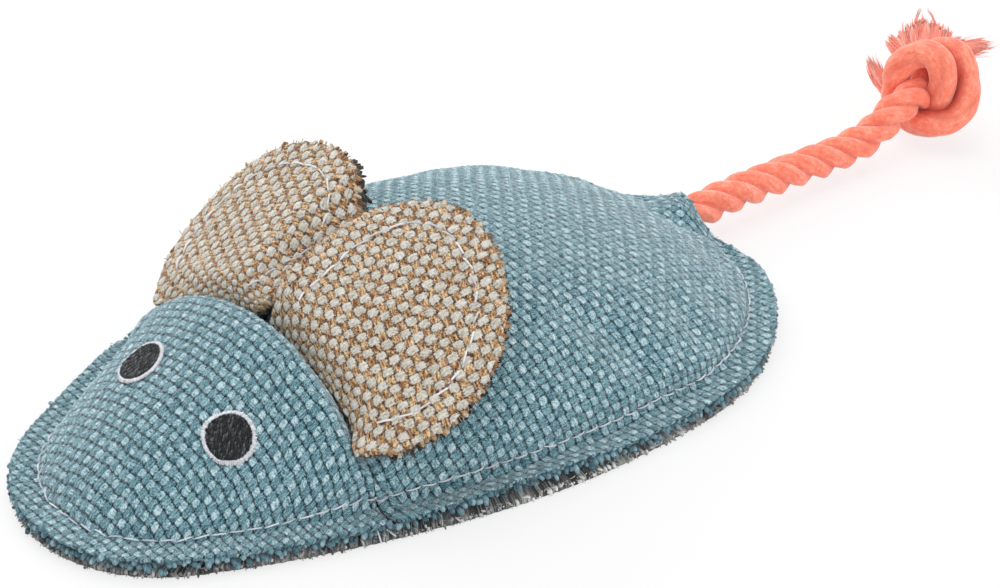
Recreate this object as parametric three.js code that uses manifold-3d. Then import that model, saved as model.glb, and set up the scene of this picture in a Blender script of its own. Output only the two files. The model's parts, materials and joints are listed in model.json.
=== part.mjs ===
// Catnip mouse: a stuffed cloth mouse with two sewn-in ears and a knotted rope tail.
// Millimetres, +Z up, nose towards -X, left side towards -Y.
// The origin is on the surface under the middle of the base panel.
import * as THREE from 'three';
import { mergeVertices } from 'three/addons/utils/BufferGeometryUtils.js';
import Module from 'manifold-3d';

const wasm = await Module();
wasm.setup();

// Plan outline of the cut edge: four tangent arcs
const bodyLength = 140;
const noseRadius = 26;
const rumpRadius = 44;
const flankRadius = 162;

// Cloth, seams and the gap that separate pieces keep
const clearance = 0.3;
const baseThickness = 1.6;
const clothThickness = 1.3;
const stuffingSlack = 0.8;
const seamAllowance = 5;
const threadRadius = 0.35;
const stitchFromFoot = 1;

// Stuffed top: the crown above the flange, and how fast it fills from each end
const crownHeight = 23.4;
const nosePower = 0.88;
const rumpPower = 0.95;
const archPower = 1.9;

// Cross seam between the head and body panels, bowed towards the tail
const seamFromNose = 43.5;
const seamRadius = 136;
const creaseDepth = 3.2;
const creaseReach = 5;

// Embroidered eyes
const eyeFromNose = 27;
const eyeFromMiddle = 11;
const eyeShift = -2.3;
const eyeDiameter = 9;
const pupilDiameter = 6.6;
const embroideryThickness = 0.6;

// Ears: a petal of two cloth layers; the angles are in degrees
const earLength = 34;
const earWidth = 36;
const earBaseWidth = 22;
const earWidestAt = 15;
const earCloth = 1.1;
const earCamber = 2.5;
const earSpacing = 1.8;
const earBaseTilt = 27;
const earTipTilt = 10;
const earSpread = 6;
const earLean = 25.5;
const earClearance = 0.7;
const earStitchInset = 4.5;

// Catnip in its pocket under the stuffing
const catnipLength = 52;
const catnipWidth = 34;
const catnipHeight = 9;
const catnipFromTail = 62;

// Tail rope, sewn in at the rump; its route counts x from the tail edge
const ropeDiameter = 6;
const ropeSides = 10;
const tailFromMiddle = -1.5;
const sewnLength = 15;
const rootLength = 8;
const tailRoute = [[23, -2, 4.7], [34, -2.8, 4.8], [43, -3.5, 6.2], [49, -3.5, 6.2]];
const knotDiameter = 20;
const knotLength = 15;
const knotRopeDiameter = 5.8;
const socketDepth = 2;
const frayDirection = [0.78, 0.55, 0.3];
const frayLocks = 13;
const frayReach = 11.5;
const frayLength = 3.5;
const lockDiameter = 3.2;
const lockTipShare = 0.25;
const lockUneven = 0.15;

const rad = THREE.MathUtils.degToRad;
const noseX = -bodyLength / 2;
const tailX = bodyLength / 2;
const flangeBottom = baseThickness + clearance;
const flangeTop = flangeBottom + clothThickness;
const seamX = noseX + seamFromNose;
const ropeRadius = ropeDiameter / 2;
const ropeZ = baseThickness + clearance + ropeRadius;
const far = bodyLength * 3;

// Centres of the outline's arcs
const noseCentre = noseX + noseRadius;
const rumpCentre = tailX - rumpRadius;
const span = rumpCentre - noseCentre;
const toNose = flankRadius - noseRadius;
const toRump = flankRadius - rumpRadius;
const flankAlong = (toNose ** 2 - toRump ** 2 + span ** 2) / (2 * span);
const flankCentre = new THREE.Vector2(noseCentre + flankAlong, Math.sqrt(toNose ** 2 - flankAlong ** 2));

function outline(inset) {
  const noseAngle = Math.atan2(flankCentre.y, flankCentre.x - noseCentre);
  const rumpAngle = Math.atan2(flankCentre.y, flankCentre.x - rumpCentre);
  const shape = new THREE.Shape();
  shape.absarc(flankCentre.x, flankCentre.y, flankRadius - inset, noseAngle + Math.PI, rumpAngle + Math.PI);
  shape.absarc(rumpCentre, 0, rumpRadius - inset, rumpAngle - Math.PI, Math.PI - rumpAngle);
  shape.absarc(flankCentre.x, -flankCentre.y, flankRadius - inset, Math.PI - rumpAngle, Math.PI - noseAngle);
  shape.absarc(noseCentre, 0, noseRadius - inset, Math.PI - noseAngle, Math.PI + noseAngle);
  return shape;
}

function halfWidth(x, inset) {
  const along = (centre, radius) => Math.sqrt(Math.max(radius ** 2 - (x - centre) ** 2, 0));
  const noseEnd = noseCentre - (noseRadius - inset) * flankAlong / toNose;
  const rumpEnd = rumpCentre + (rumpRadius - inset) * (rumpCentre - flankCentre.x) / toRump;
  if (x < noseEnd) return along(noseCentre, noseRadius - inset);
  if (x > rumpEnd) return along(rumpCentre, rumpRadius - inset);
  return along(flankCentre.x, flankRadius - inset) - flankCentre.y;
}

function crossSeam(y) {
  return seamX - seamRadius + Math.sqrt(Math.max(seamRadius ** 2 - y ** 2, 0));
}

// Height of the stuffed top at a point; grow moves the whole skin out (or in, if negative)
function skinHeight(x, y, grow = 0) {
  const inset = seamAllowance - grow;
  const share = THREE.MathUtils.clamp((x - noseX - inset) / (bodyLength - 2 * inset), 0, 1);
  const peak = nosePower / (nosePower + rumpPower);
  const profile = (share / peak) ** nosePower * ((1 - share) / (1 - peak)) ** rumpPower;
  const across = Math.min(Math.abs(y) / Math.max(halfWidth(x, inset), 1e-6), 1);
  const arch = Math.sqrt(1 - across ** archPower);
  const crease = creaseDepth * Math.exp(-(((x - crossSeam(y)) / creaseReach) ** 2));
  return flangeTop + grow + (crownHeight * profile - crease * profile) * arch;
}

// Joins equal rings of points into one closed surface; a ring may shrink to a line or a point
function loft(rings, capped = false) {
  const count = rings[0].length;
  const positions = rings.flat().flatMap((p) => [p.x, p.y, p.z]);
  const index = [];
  for (let i = 0; i + 1 < rings.length; i += 1) {
    for (let j = 0; j < count; j += 1) {
      const a = i * count + j;
      const b = i * count + (j + 1) % count;
      index.push(a, b, a + count, b, b + count, a + count);
    }
  }
  if (capped) {
    const last = (rings.length - 1) * count;
    for (let j = 1; j + 1 < count; j += 1) {
      index.push(0, j + 1, j, last, last + j, last + j + 1);
    }
  }
  const geometry = new THREE.BufferGeometry();
  geometry.setAttribute('position', new THREE.Float32BufferAttribute(positions, 3));
  geometry.setIndex(index);
  return geometry;
}

// A closed geometry as a solid, with shared vertices merged and faces turned outwards
function solid(geometry) {
  const bare = geometry.clone();
  bare.deleteAttribute('normal');
  bare.deleteAttribute('uv');
  const merged = mergeVertices(bare, 1e-4);
  const at = merged.attributes.position;
  const corner = (i) => new THREE.Vector3().fromBufferAttribute(at, i);
  const triangles = [];
  let volume = 0;
  for (let k = 0; k < merged.index.count; k += 3) {
    const [a, b, c] = [0, 1, 2].map((n) => merged.index.getX(k + n));
    if (a === b || b === c || c === a) continue;
    triangles.push([a, b, c]);
    volume += corner(a).dot(corner(b).cross(corner(c)));
  }
  const triVerts = Uint32Array.from(triangles.flatMap(([a, b, c]) => (volume < 0 ? [a, c, b] : [a, b, c])));
  const mesh = new wasm.Mesh({ numProp: 3, vertProperties: Float32Array.from(at.array), triVerts });
  return new wasm.Manifold(mesh);
}

function fromSolid(body) {
  const { vertProperties, triVerts } = body.getMesh();
  const geometry = new THREE.BufferGeometry();
  geometry.setAttribute('position', new THREE.Float32BufferAttribute(vertProperties, 3));
  geometry.setIndex([...triVerts]);
  return geometry;
}

function plate(shape, bottom, top, curveSegments = 20) {
  const depth = top - bottom;
  const geometry = new THREE.ExtrudeGeometry(shape, { depth, bevelEnabled: false, curveSegments });
  return solid(geometry.translate(0, 0, bottom));
}

// A round bar along X
function barX(radius, from, to, sides, y = tailFromMiddle, z = ropeZ) {
  const geometry = new THREE.CylinderGeometry(radius, radius, to - from, sides);
  return solid(geometry.rotateZ(-Math.PI / 2).translate((from + to) / 2, y, z));
}

function ball(radius, centre) {
  return solid(new THREE.SphereGeometry(radius, 14, 10).translate(...centre));
}

function tube(points, radius, sides, steps) {
  const section = new THREE.Shape();
  section.setFromPoints(Array.from({ length: sides }, (unused, k) => {
    const turn = k * 2 * Math.PI / sides;
    return new THREE.Vector2(radius * Math.cos(turn), radius * Math.sin(turn));
  }));
  const extrudePath = new THREE.CatmullRomCurve3(points);
  return new THREE.ExtrudeGeometry(section, { extrudePath, steps, bevelEnabled: false });
}

// The stuffed shape as a solid, from its skin down to a level under it
function stuffed(grow, bottom, stations = 42, spokes = 22) {
  const start = noseX + seamAllowance - grow;
  const rings = [];
  for (let i = 0; i <= stations; i += 1) {
    const x = THREE.MathUtils.lerp(start, -start, (1 - Math.cos(Math.PI * i / stations)) / 2);
    const half = halfWidth(x, seamAllowance - grow);
    const ring = [new THREE.Vector3(x, -half, bottom)];
    for (let j = 0; j <= spokes; j += 1) {
      const y = -half * Math.cos(Math.PI * j / spokes);
      ring.push(new THREE.Vector3(x, y, skinHeight(x, y, grow)));
    }
    ring.push(new THREE.Vector3(x, half, bottom));
    rings.push(ring);
  }
  return solid(loft(rings));
}

function above(level) {
  return solid(new THREE.BoxGeometry(far, far, far).translate(0, 0, level + far / 2));
}

function seamDisc(radius) {
  const disc = new THREE.CylinderGeometry(radius, radius, far, 180).rotateX(Math.PI / 2);
  return solid(disc.translate(seamX - seamRadius, 0, 0));
}

// Top panels: one skin with its flange and the hood over the tail, parted at the cross seam
const hood = barX(ropeRadius + clearance + clothThickness, tailX - sewnLength, tailX + ropeDiameter, 20);
const channel = barX(ropeRadius + clearance, tailX - sewnLength - clearance, tailX + 2 * ropeDiameter, 20);
const cavity = stuffed(-clothThickness, -crownHeight);
const topPanel = stuffed(0, flangeBottom)
  .add(plate(outline(0), flangeBottom, flangeTop))
  .add(hood.intersect(plate(outline(0), flangeBottom, flangeBottom + crownHeight)))
  .subtract(cavity)
  .subtract(channel);
const headPanel = topPanel.intersect(seamDisc(seamRadius - clearance / 2));
const bodyPanel = topPanel.subtract(seamDisc(seamRadius + clearance / 2));
const basePanel = plate(outline(0), 0, baseThickness);

// Catnip: a flattened heap on the base, with the stuffing packed over it
function catnipHeap(grow) {
  const heap = new THREE.SphereGeometry(1, 20, 14);
  heap.scale(catnipLength / 2 + grow, catnipWidth / 2 + grow, catnipHeight + grow);
  return solid(heap.translate(tailX - catnipFromTail, 0, flangeBottom));
}
const catnip = catnipHeap(0).intersect(above(flangeBottom));
const stuffing = stuffed(-clothThickness - stuffingSlack, -crownHeight, 30, 16)
  .intersect(above(flangeBottom))
  .subtract(catnipHeap(clearance))
  .subtract(channel);

// Thread along the flange, from one side of the tail round the nose to the other
function perimeterStitch() {
  const route = outline(seamAllowance - stitchFromFoot).getSpacedPoints(120);
  const level = flangeTop + clearance + threadRadius;
  const beside = ropeRadius + 2 * clearance + clothThickness + threadRadius;
  const kept = route.filter((p) => p.x < rumpCentre || Math.abs(p.y - tailFromMiddle) > beside);
  const turn = (p) => (Math.atan2(p.y, p.x) + 2 * Math.PI) % (2 * Math.PI);
  kept.sort((p, q) => turn(p) - turn(q));
  return tube(kept.map((p) => new THREE.Vector3(p.x, p.y, level)), threadRadius, 5, 84);
}

// Eyes: discs of embroidery that follow the head
const embroidery = stuffed(clearance + embroideryThickness, flangeBottom)
  .subtract(stuffed(clearance, -crownHeight));

function eyeBore(side, radius) {
  const step = 0.5;
  const x = noseX + eyeFromNose;
  const y = side * eyeFromMiddle + eyeShift;
  const slopeX = (skinHeight(x + step, y) - skinHeight(x - step, y)) / (2 * step);
  const slopeY = (skinHeight(x, y + step) - skinHeight(x, y - step)) / (2 * step);
  const normal = new THREE.Vector3(-slopeX, -slopeY, 1).normalize();
  const turn = new THREE.Quaternion().setFromUnitVectors(new THREE.Vector3(0, 1, 0), normal);
  const bore = new THREE.CylinderGeometry(radius, radius, eyeDiameter, 24).applyQuaternion(turn);
  return solid(bore.translate(x, y, skinHeight(x, y)));
}

function eyePieces(side) {
  const pupil = embroidery.intersect(eyeBore(side, pupilDiameter / 2));
  const ring = embroidery
    .intersect(eyeBore(side, eyeDiameter / 2))
    .subtract(eyeBore(side, pupilDiameter / 2 + clearance));
  return { pupil, ring };
}

// Half the ear's width at a distance from its base
function petal(distance, inset = 0) {
  const half = earWidth / 2 - inset;
  const base = earBaseWidth / 2 - inset;
  if (distance < earWidestAt) return half - (half - base) * (1 - distance / earWidestAt) ** 2;
  const beyond = (distance - earWidestAt) / (earLength - inset - earWidestAt);
  return half * Math.sqrt(Math.max(1 - beyond ** 2, 0));
}

// The line across the ear at a distance from its base, pointing away from the middle
function earAcross(side, distance) {
  const tilt = rad(THREE.MathUtils.lerp(earBaseTilt, earTipTilt, distance / earLength));
  return new THREE.Vector3(0, side * Math.cos(tilt), -Math.sin(tilt));
}

// The ear's own frame: its base on the cross seam, up its length, and out of its front face
function earFrame(side) {
  const lean = Math.cos(rad(earLean));
  const up = new THREE.Vector3(lean * Math.cos(rad(earSpread)), side * lean * Math.sin(rad(earSpread)),
    Math.sin(rad(earLean)));
  const hinge = earAcross(side, 0);
  const front = new THREE.Vector3().crossVectors(up, hinge).multiplyScalar(side).normalize();
  let inward = 0;
  for (let d = 0; d <= earLength; d += 1) {
    inward = Math.max(inward, side * (earAcross(side, d).y * petal(d) - up.y * d));
  }
  const y = side * (inward + earSpacing / 2);
  const base = new THREE.Vector3(crossSeam(y), y, 0);
  for (let s = -1; s <= 1; s += 0.1) {
    const step = s * earBaseWidth / 2;
    const under = skinHeight(base.x, y + hinge.y * step);
    base.z = Math.max(base.z, under + earClearance - hinge.z * step);
  }
  return { side, hinge, up, front, base };
}

// A point on the ear, s from -1 (inner edge) to 1, lifted off the back where it would touch
function earPoint(frame, s, distance, offset, inset = 0) {
  const { side, up, front, base } = frame;
  const half = petal(distance, inset);
  const bow = earCamber * (s * half / (earWidth / 2)) ** 2 * distance / earLength;
  const p = base.clone().addScaledVector(earAcross(side, distance), s * half).addScaledVector(up, distance);
  p.addScaledVector(front, -bow);
  p.z = Math.max(p.z, skinHeight(p.x, p.y) + earClearance);
  return p.addScaledVector(front, offset);
}

function earLayer(frame, low, high, rows = 12, columns = 9) {
  const rings = [];
  for (let i = 0; i <= rows; i += 1) {
    const distance = earLength * Math.sin(Math.PI / 2 * i / rows);
    const across = Array.from({ length: columns + 1 }, (unused, j) => -1 + 2 * j / columns);
    const under = across.map((s) => earPoint(frame, s, distance, low));
    const over = across.map((s) => earPoint(frame, s, distance, high)).reverse();
    rings.push([...under, ...over]);
  }
  return solid(loft(rings, true));
}

function earStitch(frame) {
  const offset = 2 * earCloth + 2 * clearance + threadRadius;
  const first = 2 * threadRadius;
  const last = earLength - earStitchInset;
  const half = 12;
  const points = [];
  for (let k = 0; k <= 2 * half; k += 1) {
    const distance = THREE.MathUtils.lerp(first, last, Math.sin(Math.PI / 2 * k / half));
    points.push(earPoint(frame, k < half ? -1 : 1, distance, offset, earStitchInset));
  }
  return tube(points, threadRadius, 5, 40);
}

// Tail: the sewn end stays in the seam, then a stub and the rope each start at a round bend
const swingX = tailX + clearance + ropeRadius;
const liftX = swingX + rootLength + clearance + ropeRadius;
const sewnEnd = barX(ropeRadius, tailX - sewnLength, tailX, ropeSides);
const tailRoot = ball(ropeRadius, [swingX, tailFromMiddle, ropeZ])
  .add(barX(ropeRadius, swingX, swingX + rootLength, ropeSides));
const bend = new THREE.Vector3(liftX, tailFromMiddle, ropeZ);
const ropePoints = [bend, ...tailRoute.map(([x, y, z]) => new THREE.Vector3(tailX + x, y, z))];
const tailRope = ball(ropeRadius, bend.toArray()).add(solid(tube(ropePoints, ropeRadius, ropeSides, 6)));

// Overhand knot: the rope winds twice round the tail's line and three times through itself
const ropeEnd = ropePoints[ropePoints.length - 1];
const knotCentre = new THREE.Vector3(ropeEnd.x + knotLength / 2 - socketDepth, ropeEnd.y, knotDiameter / 2);
const knotTube = knotRopeDiameter / 2;

function knotTurn(from, to) {
  const ring = knotDiameter / 2 - 2 * knotTube;
  const steps = 12;
  const points = [];
  for (let k = 0; k <= steps; k += 1) {
    const turn = THREE.MathUtils.lerp(from, to, k / steps);
    const reach = ring + knotTube * Math.cos(1.5 * turn);
    const along = (knotLength / 2 - knotTube) * Math.sin(1.5 * turn);
    points.push(new THREE.Vector3(along, reach * Math.cos(turn), reach * Math.sin(turn)).add(knotCentre));
  }
  return solid(tube(points, knotTube, 8, steps));
}

// Frayed end: locks that splay from the cut rope where it leaves the knot
const frayTurn = new THREE.Quaternion()
  .setFromUnitVectors(new THREE.Vector3(0, 1, 0), new THREE.Vector3(...frayDirection).normalize());
const frayHub = knotDiameter / 2 + clearance;

function frayStub(radius, from) {
  const stub = new THREE.CylinderGeometry(radius, radius, frayHub + 1 - from, ropeSides);
  return solid(stub.translate(0, (frayHub + 1 + from) / 2, 0).applyQuaternion(frayTurn)
    .translate(...knotCentre.toArray()));
}

function frayLock(k) {
  const angle = 2 * Math.PI * k / frayLocks;
  const reach = frayReach * (1 - lockUneven + lockUneven * Math.cos(4 * angle));
  const [steps, sides] = [4, 6];
  const rings = [];
  for (let i = 0; i <= steps; i += 1) {
    const t = i / steps;
    const r = THREE.MathUtils.lerp(ropeRadius / 2, reach, t);
    const rise = frayHub + frayLength * Math.sqrt(t);
    const centre = new THREE.Vector3(r * Math.cos(angle), rise, r * Math.sin(angle));
    const half = lockDiameter / 2 * THREE.MathUtils.lerp(1, lockTipShare, t);
    const ring = Array.from({ length: sides }, (unused, j) => {
      const turn = 2 * Math.PI * j / sides;
      return new THREE.Vector3(half * Math.cos(turn), 0, half * Math.sin(turn)).add(centre);
    });
    rings.push(ring.map((p) => p.applyQuaternion(frayTurn).add(knotCentre)));
  }
  return solid(loft(rings, true));
}

const socketRadius = ropeRadius + clearance;
const lap = 0.05;
let knot = ball(knotDiameter / 2 - 1.5 * knotTube, knotCentre.toArray());
for (let k = 0; k < 4; k += 1) {
  knot = knot.add(knotTurn(k * Math.PI - lap, (k + 1) * Math.PI + lap));
}
knot = knot
  .subtract(barX(socketRadius, ropeEnd.x - knotLength, ropeEnd.x + clearance, 20, ropeEnd.y, ropeEnd.z))
  .subtract(frayStub(socketRadius, frayHub - socketDepth - clearance))
  .intersect(above(0));

let fray = frayStub(ropeRadius, frayHub - socketDepth);
for (let k = 0; k < frayLocks; k += 1) {
  fray = fray.add(frayLock(k));
}

// Materials
const cloth = (color) => new THREE.MeshStandardMaterial({ color, roughness: 0.95, metalness: 0 });
const paint = {
  blue: 0x6f9fae, grey: 0x4a4a4c, beige: 0xb9a183, charcoal: 0x3b3a3a, white: 0xe9e2da, black: 0x151515,
  coral: 0xf0806a, fibre: 0xf4f3ef, herb: 0x6b7a45,
};

const mouse = new THREE.Group();

function addPiece(name, shape, color, parent = mouse) {
  const geometry = shape.isBufferGeometry ? shape : fromSolid(shape);
  const mesh = new THREE.Mesh(geometry, cloth(color));
  mesh.name = name;
  parent.add(mesh);
  return mesh;
}

addPiece('base_panel', basePanel, paint.grey);
addPiece('head_panel', headPanel, paint.blue);
addPiece('body_panel', bodyPanel, paint.blue);
addPiece('fibre_stuffing', stuffing, paint.fibre);
addPiece('catnip_filling', catnip, paint.herb);
addPiece('perimeter_stitch', perimeterStitch(), paint.white);

for (const [name, side] of [['left', -1], ['right', 1]]) {
  const { pupil, ring } = eyePieces(side);
  addPiece(`${name}_eye_ring`, ring, paint.white);
  addPiece(`${name}_eye_pupil`, pupil, paint.black);

  const frame = earFrame(side);
  const ear = new THREE.Group();
  const fold = frame.base.clone().addScaledVector(frame.front, 2 * earCloth + clearance);
  ear.userData.hinge = { point: fold, axis: frame.hinge.clone().multiplyScalar(-side) };
  const frontLow = earCloth + clearance;
  addPiece(`${name}_ear_back`, earLayer(frame, 0, earCloth), paint.charcoal, ear);
  addPiece(`${name}_ear_front`, earLayer(frame, frontLow, frontLow + earCloth), paint.beige, ear);
  addPiece(`${name}_ear_stitch`, earStitch(frame), paint.white, ear);
  mouse.add(ear);
}

addPiece('tail_sewn_end', sewnEnd, paint.coral);
addPiece('tail_root', tailRoot, paint.coral);
addPiece('tail_rope', tailRope, paint.coral);
addPiece('tail_knot', knot, paint.coral);
addPiece('tail_fray', fray, paint.coral);

export default mouse;
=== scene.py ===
# Catnip mouse: woven cloth, sewn ears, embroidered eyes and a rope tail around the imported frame
import json
import math
import bpy
import numpy as np
from mathutils import Matrix, Vector
from mathutils.bvhtree import BVHTree


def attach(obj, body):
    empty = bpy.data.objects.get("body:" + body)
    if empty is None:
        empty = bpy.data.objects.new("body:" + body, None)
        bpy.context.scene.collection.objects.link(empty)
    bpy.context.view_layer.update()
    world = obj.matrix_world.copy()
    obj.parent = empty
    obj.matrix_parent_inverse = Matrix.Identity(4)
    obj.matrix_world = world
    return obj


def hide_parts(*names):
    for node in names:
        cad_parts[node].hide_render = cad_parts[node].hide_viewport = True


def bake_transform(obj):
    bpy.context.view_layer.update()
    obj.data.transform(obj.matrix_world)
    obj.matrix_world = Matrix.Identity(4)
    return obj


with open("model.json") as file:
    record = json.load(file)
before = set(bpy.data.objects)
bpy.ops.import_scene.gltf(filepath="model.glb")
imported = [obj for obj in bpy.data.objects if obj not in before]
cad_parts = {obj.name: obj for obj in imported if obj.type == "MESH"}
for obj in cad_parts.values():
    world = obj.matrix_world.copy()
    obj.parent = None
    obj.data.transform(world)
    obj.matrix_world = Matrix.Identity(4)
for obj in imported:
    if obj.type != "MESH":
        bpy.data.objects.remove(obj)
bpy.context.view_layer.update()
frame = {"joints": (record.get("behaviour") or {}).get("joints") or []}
chance = np.random.default_rng(11)
mm = 0.001
white = (1, 1, 1, 1)


def deselectAll():
    if bpy.context.object and bpy.context.object.mode != "OBJECT":
        bpy.ops.object.mode_set(mode="OBJECT")
    bpy.ops.object.select_all(action="DESELECT")


def makeActive(piece):
    deselectAll()
    piece.select_set(True)
    bpy.context.view_layer.objects.active = piece


def applyModifier(piece, kind, **settings):
    makeActive(piece)
    modifier = piece.modifiers.new(kind.lower(), kind)
    for key, value in settings.items():
        setattr(modifier, key, value)
    bpy.ops.object.modifier_apply(modifier=modifier.name)


def pulled(items, key, width=1, kind=np.float32):  # one value of each item of a mesh
    values = np.empty(len(items) * width, kind)
    items.foreach_get(key, values)
    return values.reshape(-1, width) if width > 1 else values


def readPoints(piece):  # in millimetres
    return pulled(piece.data.vertices, "co", 3).astype(float) / mm


def writePoints(piece, points):
    piece.data.vertices.foreach_set("co", (points * mm).astype(np.float32).ravel())
    piece.data.update()


def unit(vectors):
    return vectors / np.maximum(np.linalg.norm(vectors, axis=-1, keepdims=True), 1e-9)


def smooth(low, high, value):
    share = np.clip((value - low) / (high - low), 0, 1)
    return share * share * (3 - 2 * share)


def hump(value, middle, reach):  # 1 at the middle, fading out on both sides
    return np.exp(-((value - middle) / reach) ** 2)


def sendHome(piece, material, body, slot, *nodes):  # finish, body, slot (not used) and the CAD nodes it stands for
    piece.data.materials.clear()
    piece.data.materials.append(material)
    if body:
        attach(piece, body)
    if nodes:
        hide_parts(*nodes)


# Camera and view transform first
view = {"azimuth": -41.4, "elevation": 32.1, "distance": 450, "aim": (0, 0, 15), "aside": 16.7, "above": 0.2,
        "lens": 101.52, "sensor": 36, "clip": (0.01, 20)}
turnRound, lookDown = math.radians(view["azimuth"]), math.radians(view["elevation"])
towards = Vector((math.sin(turnRound) * math.cos(lookDown), -math.cos(turnRound) * math.cos(lookDown),
                  math.sin(lookDown)))
rightward = Vector((math.cos(turnRound), math.sin(turnRound), 0))
upward = towards.cross(rightward)
eyePoint = Vector(view["aim"]) + view["distance"] * towards
eyePoint = eyePoint + view["aside"] * rightward + view["above"] * upward
deselectAll()
bpy.ops.object.camera_add()
camera = bpy.context.object
stance = Matrix((rightward, upward, towards)).transposed().to_4x4()
camera.matrix_world = Matrix.Translation(eyePoint * mm) @ stance
camera.data.lens, camera.data.sensor_width = view["lens"], view["sensor"]
camera.data.clip_start, camera.data.clip_end = view["clip"]
bpy.context.scene.camera = camera
bpy.context.scene.view_settings.view_transform = "Standard"


class Flow:  # a node socket that takes part in Python maths
    def __init__(self, tree, socket=None):
        self.tree = tree
        self.socket = socket

    def node(self, kind, settings=None, sockets=None, out=0):
        made = self.tree.nodes.new(kind)
        for key, value in (settings or {}).items():
            if key == "stops":
                places = made.color_ramp.elements
                while len(places) < len(value):
                    places.new(1)
                for stop, (place, colour) in zip(places, value):
                    stop.position, stop.color = place, colour
            else:
                setattr(made, key, value)
        for key, value in (sockets or {}).items():
            if isinstance(value, Flow):
                self.tree.links.new(value.socket, made.inputs[key])
            else:
                made.inputs[key].default_value = value
        return Flow(self.tree, made.outputs[out] if made.outputs else None)

    def other(self, out):
        return Flow(self.tree, self.socket.node.outputs[out])

    def sum(self, operation, *values):
        return self.node("ShaderNodeMath", {"operation": operation}, dict(enumerate((self, *values))))

    def __add__(self, value):
        return self.sum("ADD", value)

    def __sub__(self, value):
        return self.sum("SUBTRACT", value)

    def __rsub__(self, value):
        return self.node("ShaderNodeMath", {"operation": "SUBTRACT"}, {0: value, 1: self})

    def __mul__(self, value):
        return self.sum("MULTIPLY", value)

    def __abs__(self):
        return self.sum("ABSOLUTE")

    __radd__ = __add__


def linear(red, green, blue):  # a screen colour, 0 to 255, as the shader wants it
    parts = [((c / 255 + 0.055) / 1.055) ** 2.4 if c > 10 else c / 255 / 12.92 for c in (red, green, blue)]
    return (*parts, 1)


def startMaterial(name):
    material = bpy.data.materials.new(name)
    material.use_nodes = True
    material.node_tree.nodes.clear()
    return material, Flow(material.node_tree)


def mixColour(share, first, second):
    return share.node("ShaderNodeMix", {"data_type": "RGBA"}, {0: share, 6: first, 7: second}, 2)


def joinAxes(x, y, z=0.0):
    return x.node("ShaderNodeCombineXYZ", {}, {0: x, 1: y, 2: z})


def splitAxes(place):
    x = place.node("ShaderNodeSeparateXYZ", {}, {0: place})
    return x, x.other(1), x.other(2)


def grain(place, scale, detail=2.0, rough=0.6):
    return place.node("ShaderNodeTexNoise", {}, {"Vector": place, "Scale": scale, "Detail": detail,
                                                 "Roughness": rough})


def spread(value, low, high):  # a smooth step of a value
    return value.node("ShaderNodeMapRange", {"interpolation_type": "SMOOTHSTEP"}, {0: value, 1: low, 2: high})


def ramp(value, tones):
    stops = [(k / max(len(tones) - 1, 1), linear(*tone)) for k, tone in enumerate(tones)]
    return value.node("ShaderNodeValToRGB", {"stops": stops}, {0: value})


def finishSurface(start, colour, roughness, height, bump, depth, sheen):
    normal = start.node("ShaderNodeBump", {}, {"Strength": bump, "Distance": depth * mm, "Height": height})
    skin = start.node("ShaderNodeBsdfPrincipled", {}, {
        "Base Color": colour, "Roughness": roughness, "Normal": normal, "Specular IOR Level": 0.18,
        "Sheen Weight": sheen[0], "Sheen Roughness": sheen[1], "Sheen Tint": sheen[2]})
    start.node("ShaderNodeOutputMaterial", {}, {0: skin})


def clothFinish(name, look):  # plain weave that follows the cloth's own threads
    material, start = startMaterial(name)
    threads = start.node("ShaderNodeUVMap", {"uv_map": "weave"})
    fuzz = grain(threads, look["fuzzScale"], 3.0, 0.7)
    _, shakeAlong, shakeAcross = splitAxes(fuzz.other(1))
    along, across, _ = splitAxes(threads)
    along = along + (shakeAlong - 0.5) * look["shake"]
    across = across + (shakeAcross - 0.5) * look["shake"]
    column, row = along.sum("FLOOR"), across.sum("FLOOR")
    u, v = along - column - 0.5, across - row - 0.5
    odd = ((column + row) * 0.5).sum("FRACT") * 2  # 1 where the weft lies on top
    facing = 1 - odd * 2
    ragged = (fuzz - 0.5) * look["ragged"]

    def roundTop(aside, half):  # of a thread, across it
        return (1 - aside * aside * half ** -2).sum("MAXIMUM", 0.0).sum("SQRT")

    def bow(lengthwise):  # over the thread below it
        return ((lengthwise * math.pi).sum("COSINE") * look["square"]).sum("MINIMUM", 1.0)

    warp = (facing * bow(u) * look["warpRise"] + look["warpThick"]) * roundTop(v, look["warpHalf"]) + ragged
    weft = (look["weftThick"] - facing * bow(v) * look["weftRise"]) * roundTop(u, look["weftHalf"]) - ragged
    weftShows = spread(weft - warp, -0.05, 0.05)
    height = warp.sum("MAXIMUM", weft)

    slant = 0.6  # of the fibres in a thread
    warpRun = joinAxes(along * look["run"], across * look["fine"] + along * slant, 3.1)
    weftRun = joinAxes(along * look["fine"] + across * slant, across * look["run"], 7.7)
    warpFibre, weftFibre = (grain(run, 1.0, 3.0, 0.75) for run in (warpRun, weftRun))
    warpTone = grain(joinAxes(along * 0.4, row * 7.13), 1.0, 1.0)
    weftTone = grain(joinAxes(column * 7.13, across * 0.4, 5.0), 1.0, 1.0)
    grit = (fuzz - 0.5) * look["fuzz"] + 0.5
    warpShade = grit + (warpTone - 0.5) * look["uneven"] + (warpFibre - 0.5) * look["warpStreak"]
    weftShade = grit + (weftTone - 0.5) * look["uneven"] + (weftFibre - 0.5) * look["weftStreak"]
    colour = mixColour(weftShows, ramp(warpShade, look["warpTones"]), ramp(weftShade, look["weftTones"]))
    # painted shade: the colour goes to the gap shade tone where the threads lie low, between and under the
    # floats
    paintedGapShade = spread(height + (fuzz - 0.5) * look["gapRagged"], look["gapFrom"], look["gapTo"])
    colour = mixColour(paintedGapShade, linear(*look["gapTone"]), colour)
    fibre = warpFibre + (weftFibre - warpFibre) * weftShows
    lift = height * 0.35 + fibre * look["fibreLift"] + fuzz * look["fuzzLift"]
    finishSurface(start, colour, look["roughness"], lift, look["bump"], 0.4, look["sheen"])
    return material


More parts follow.
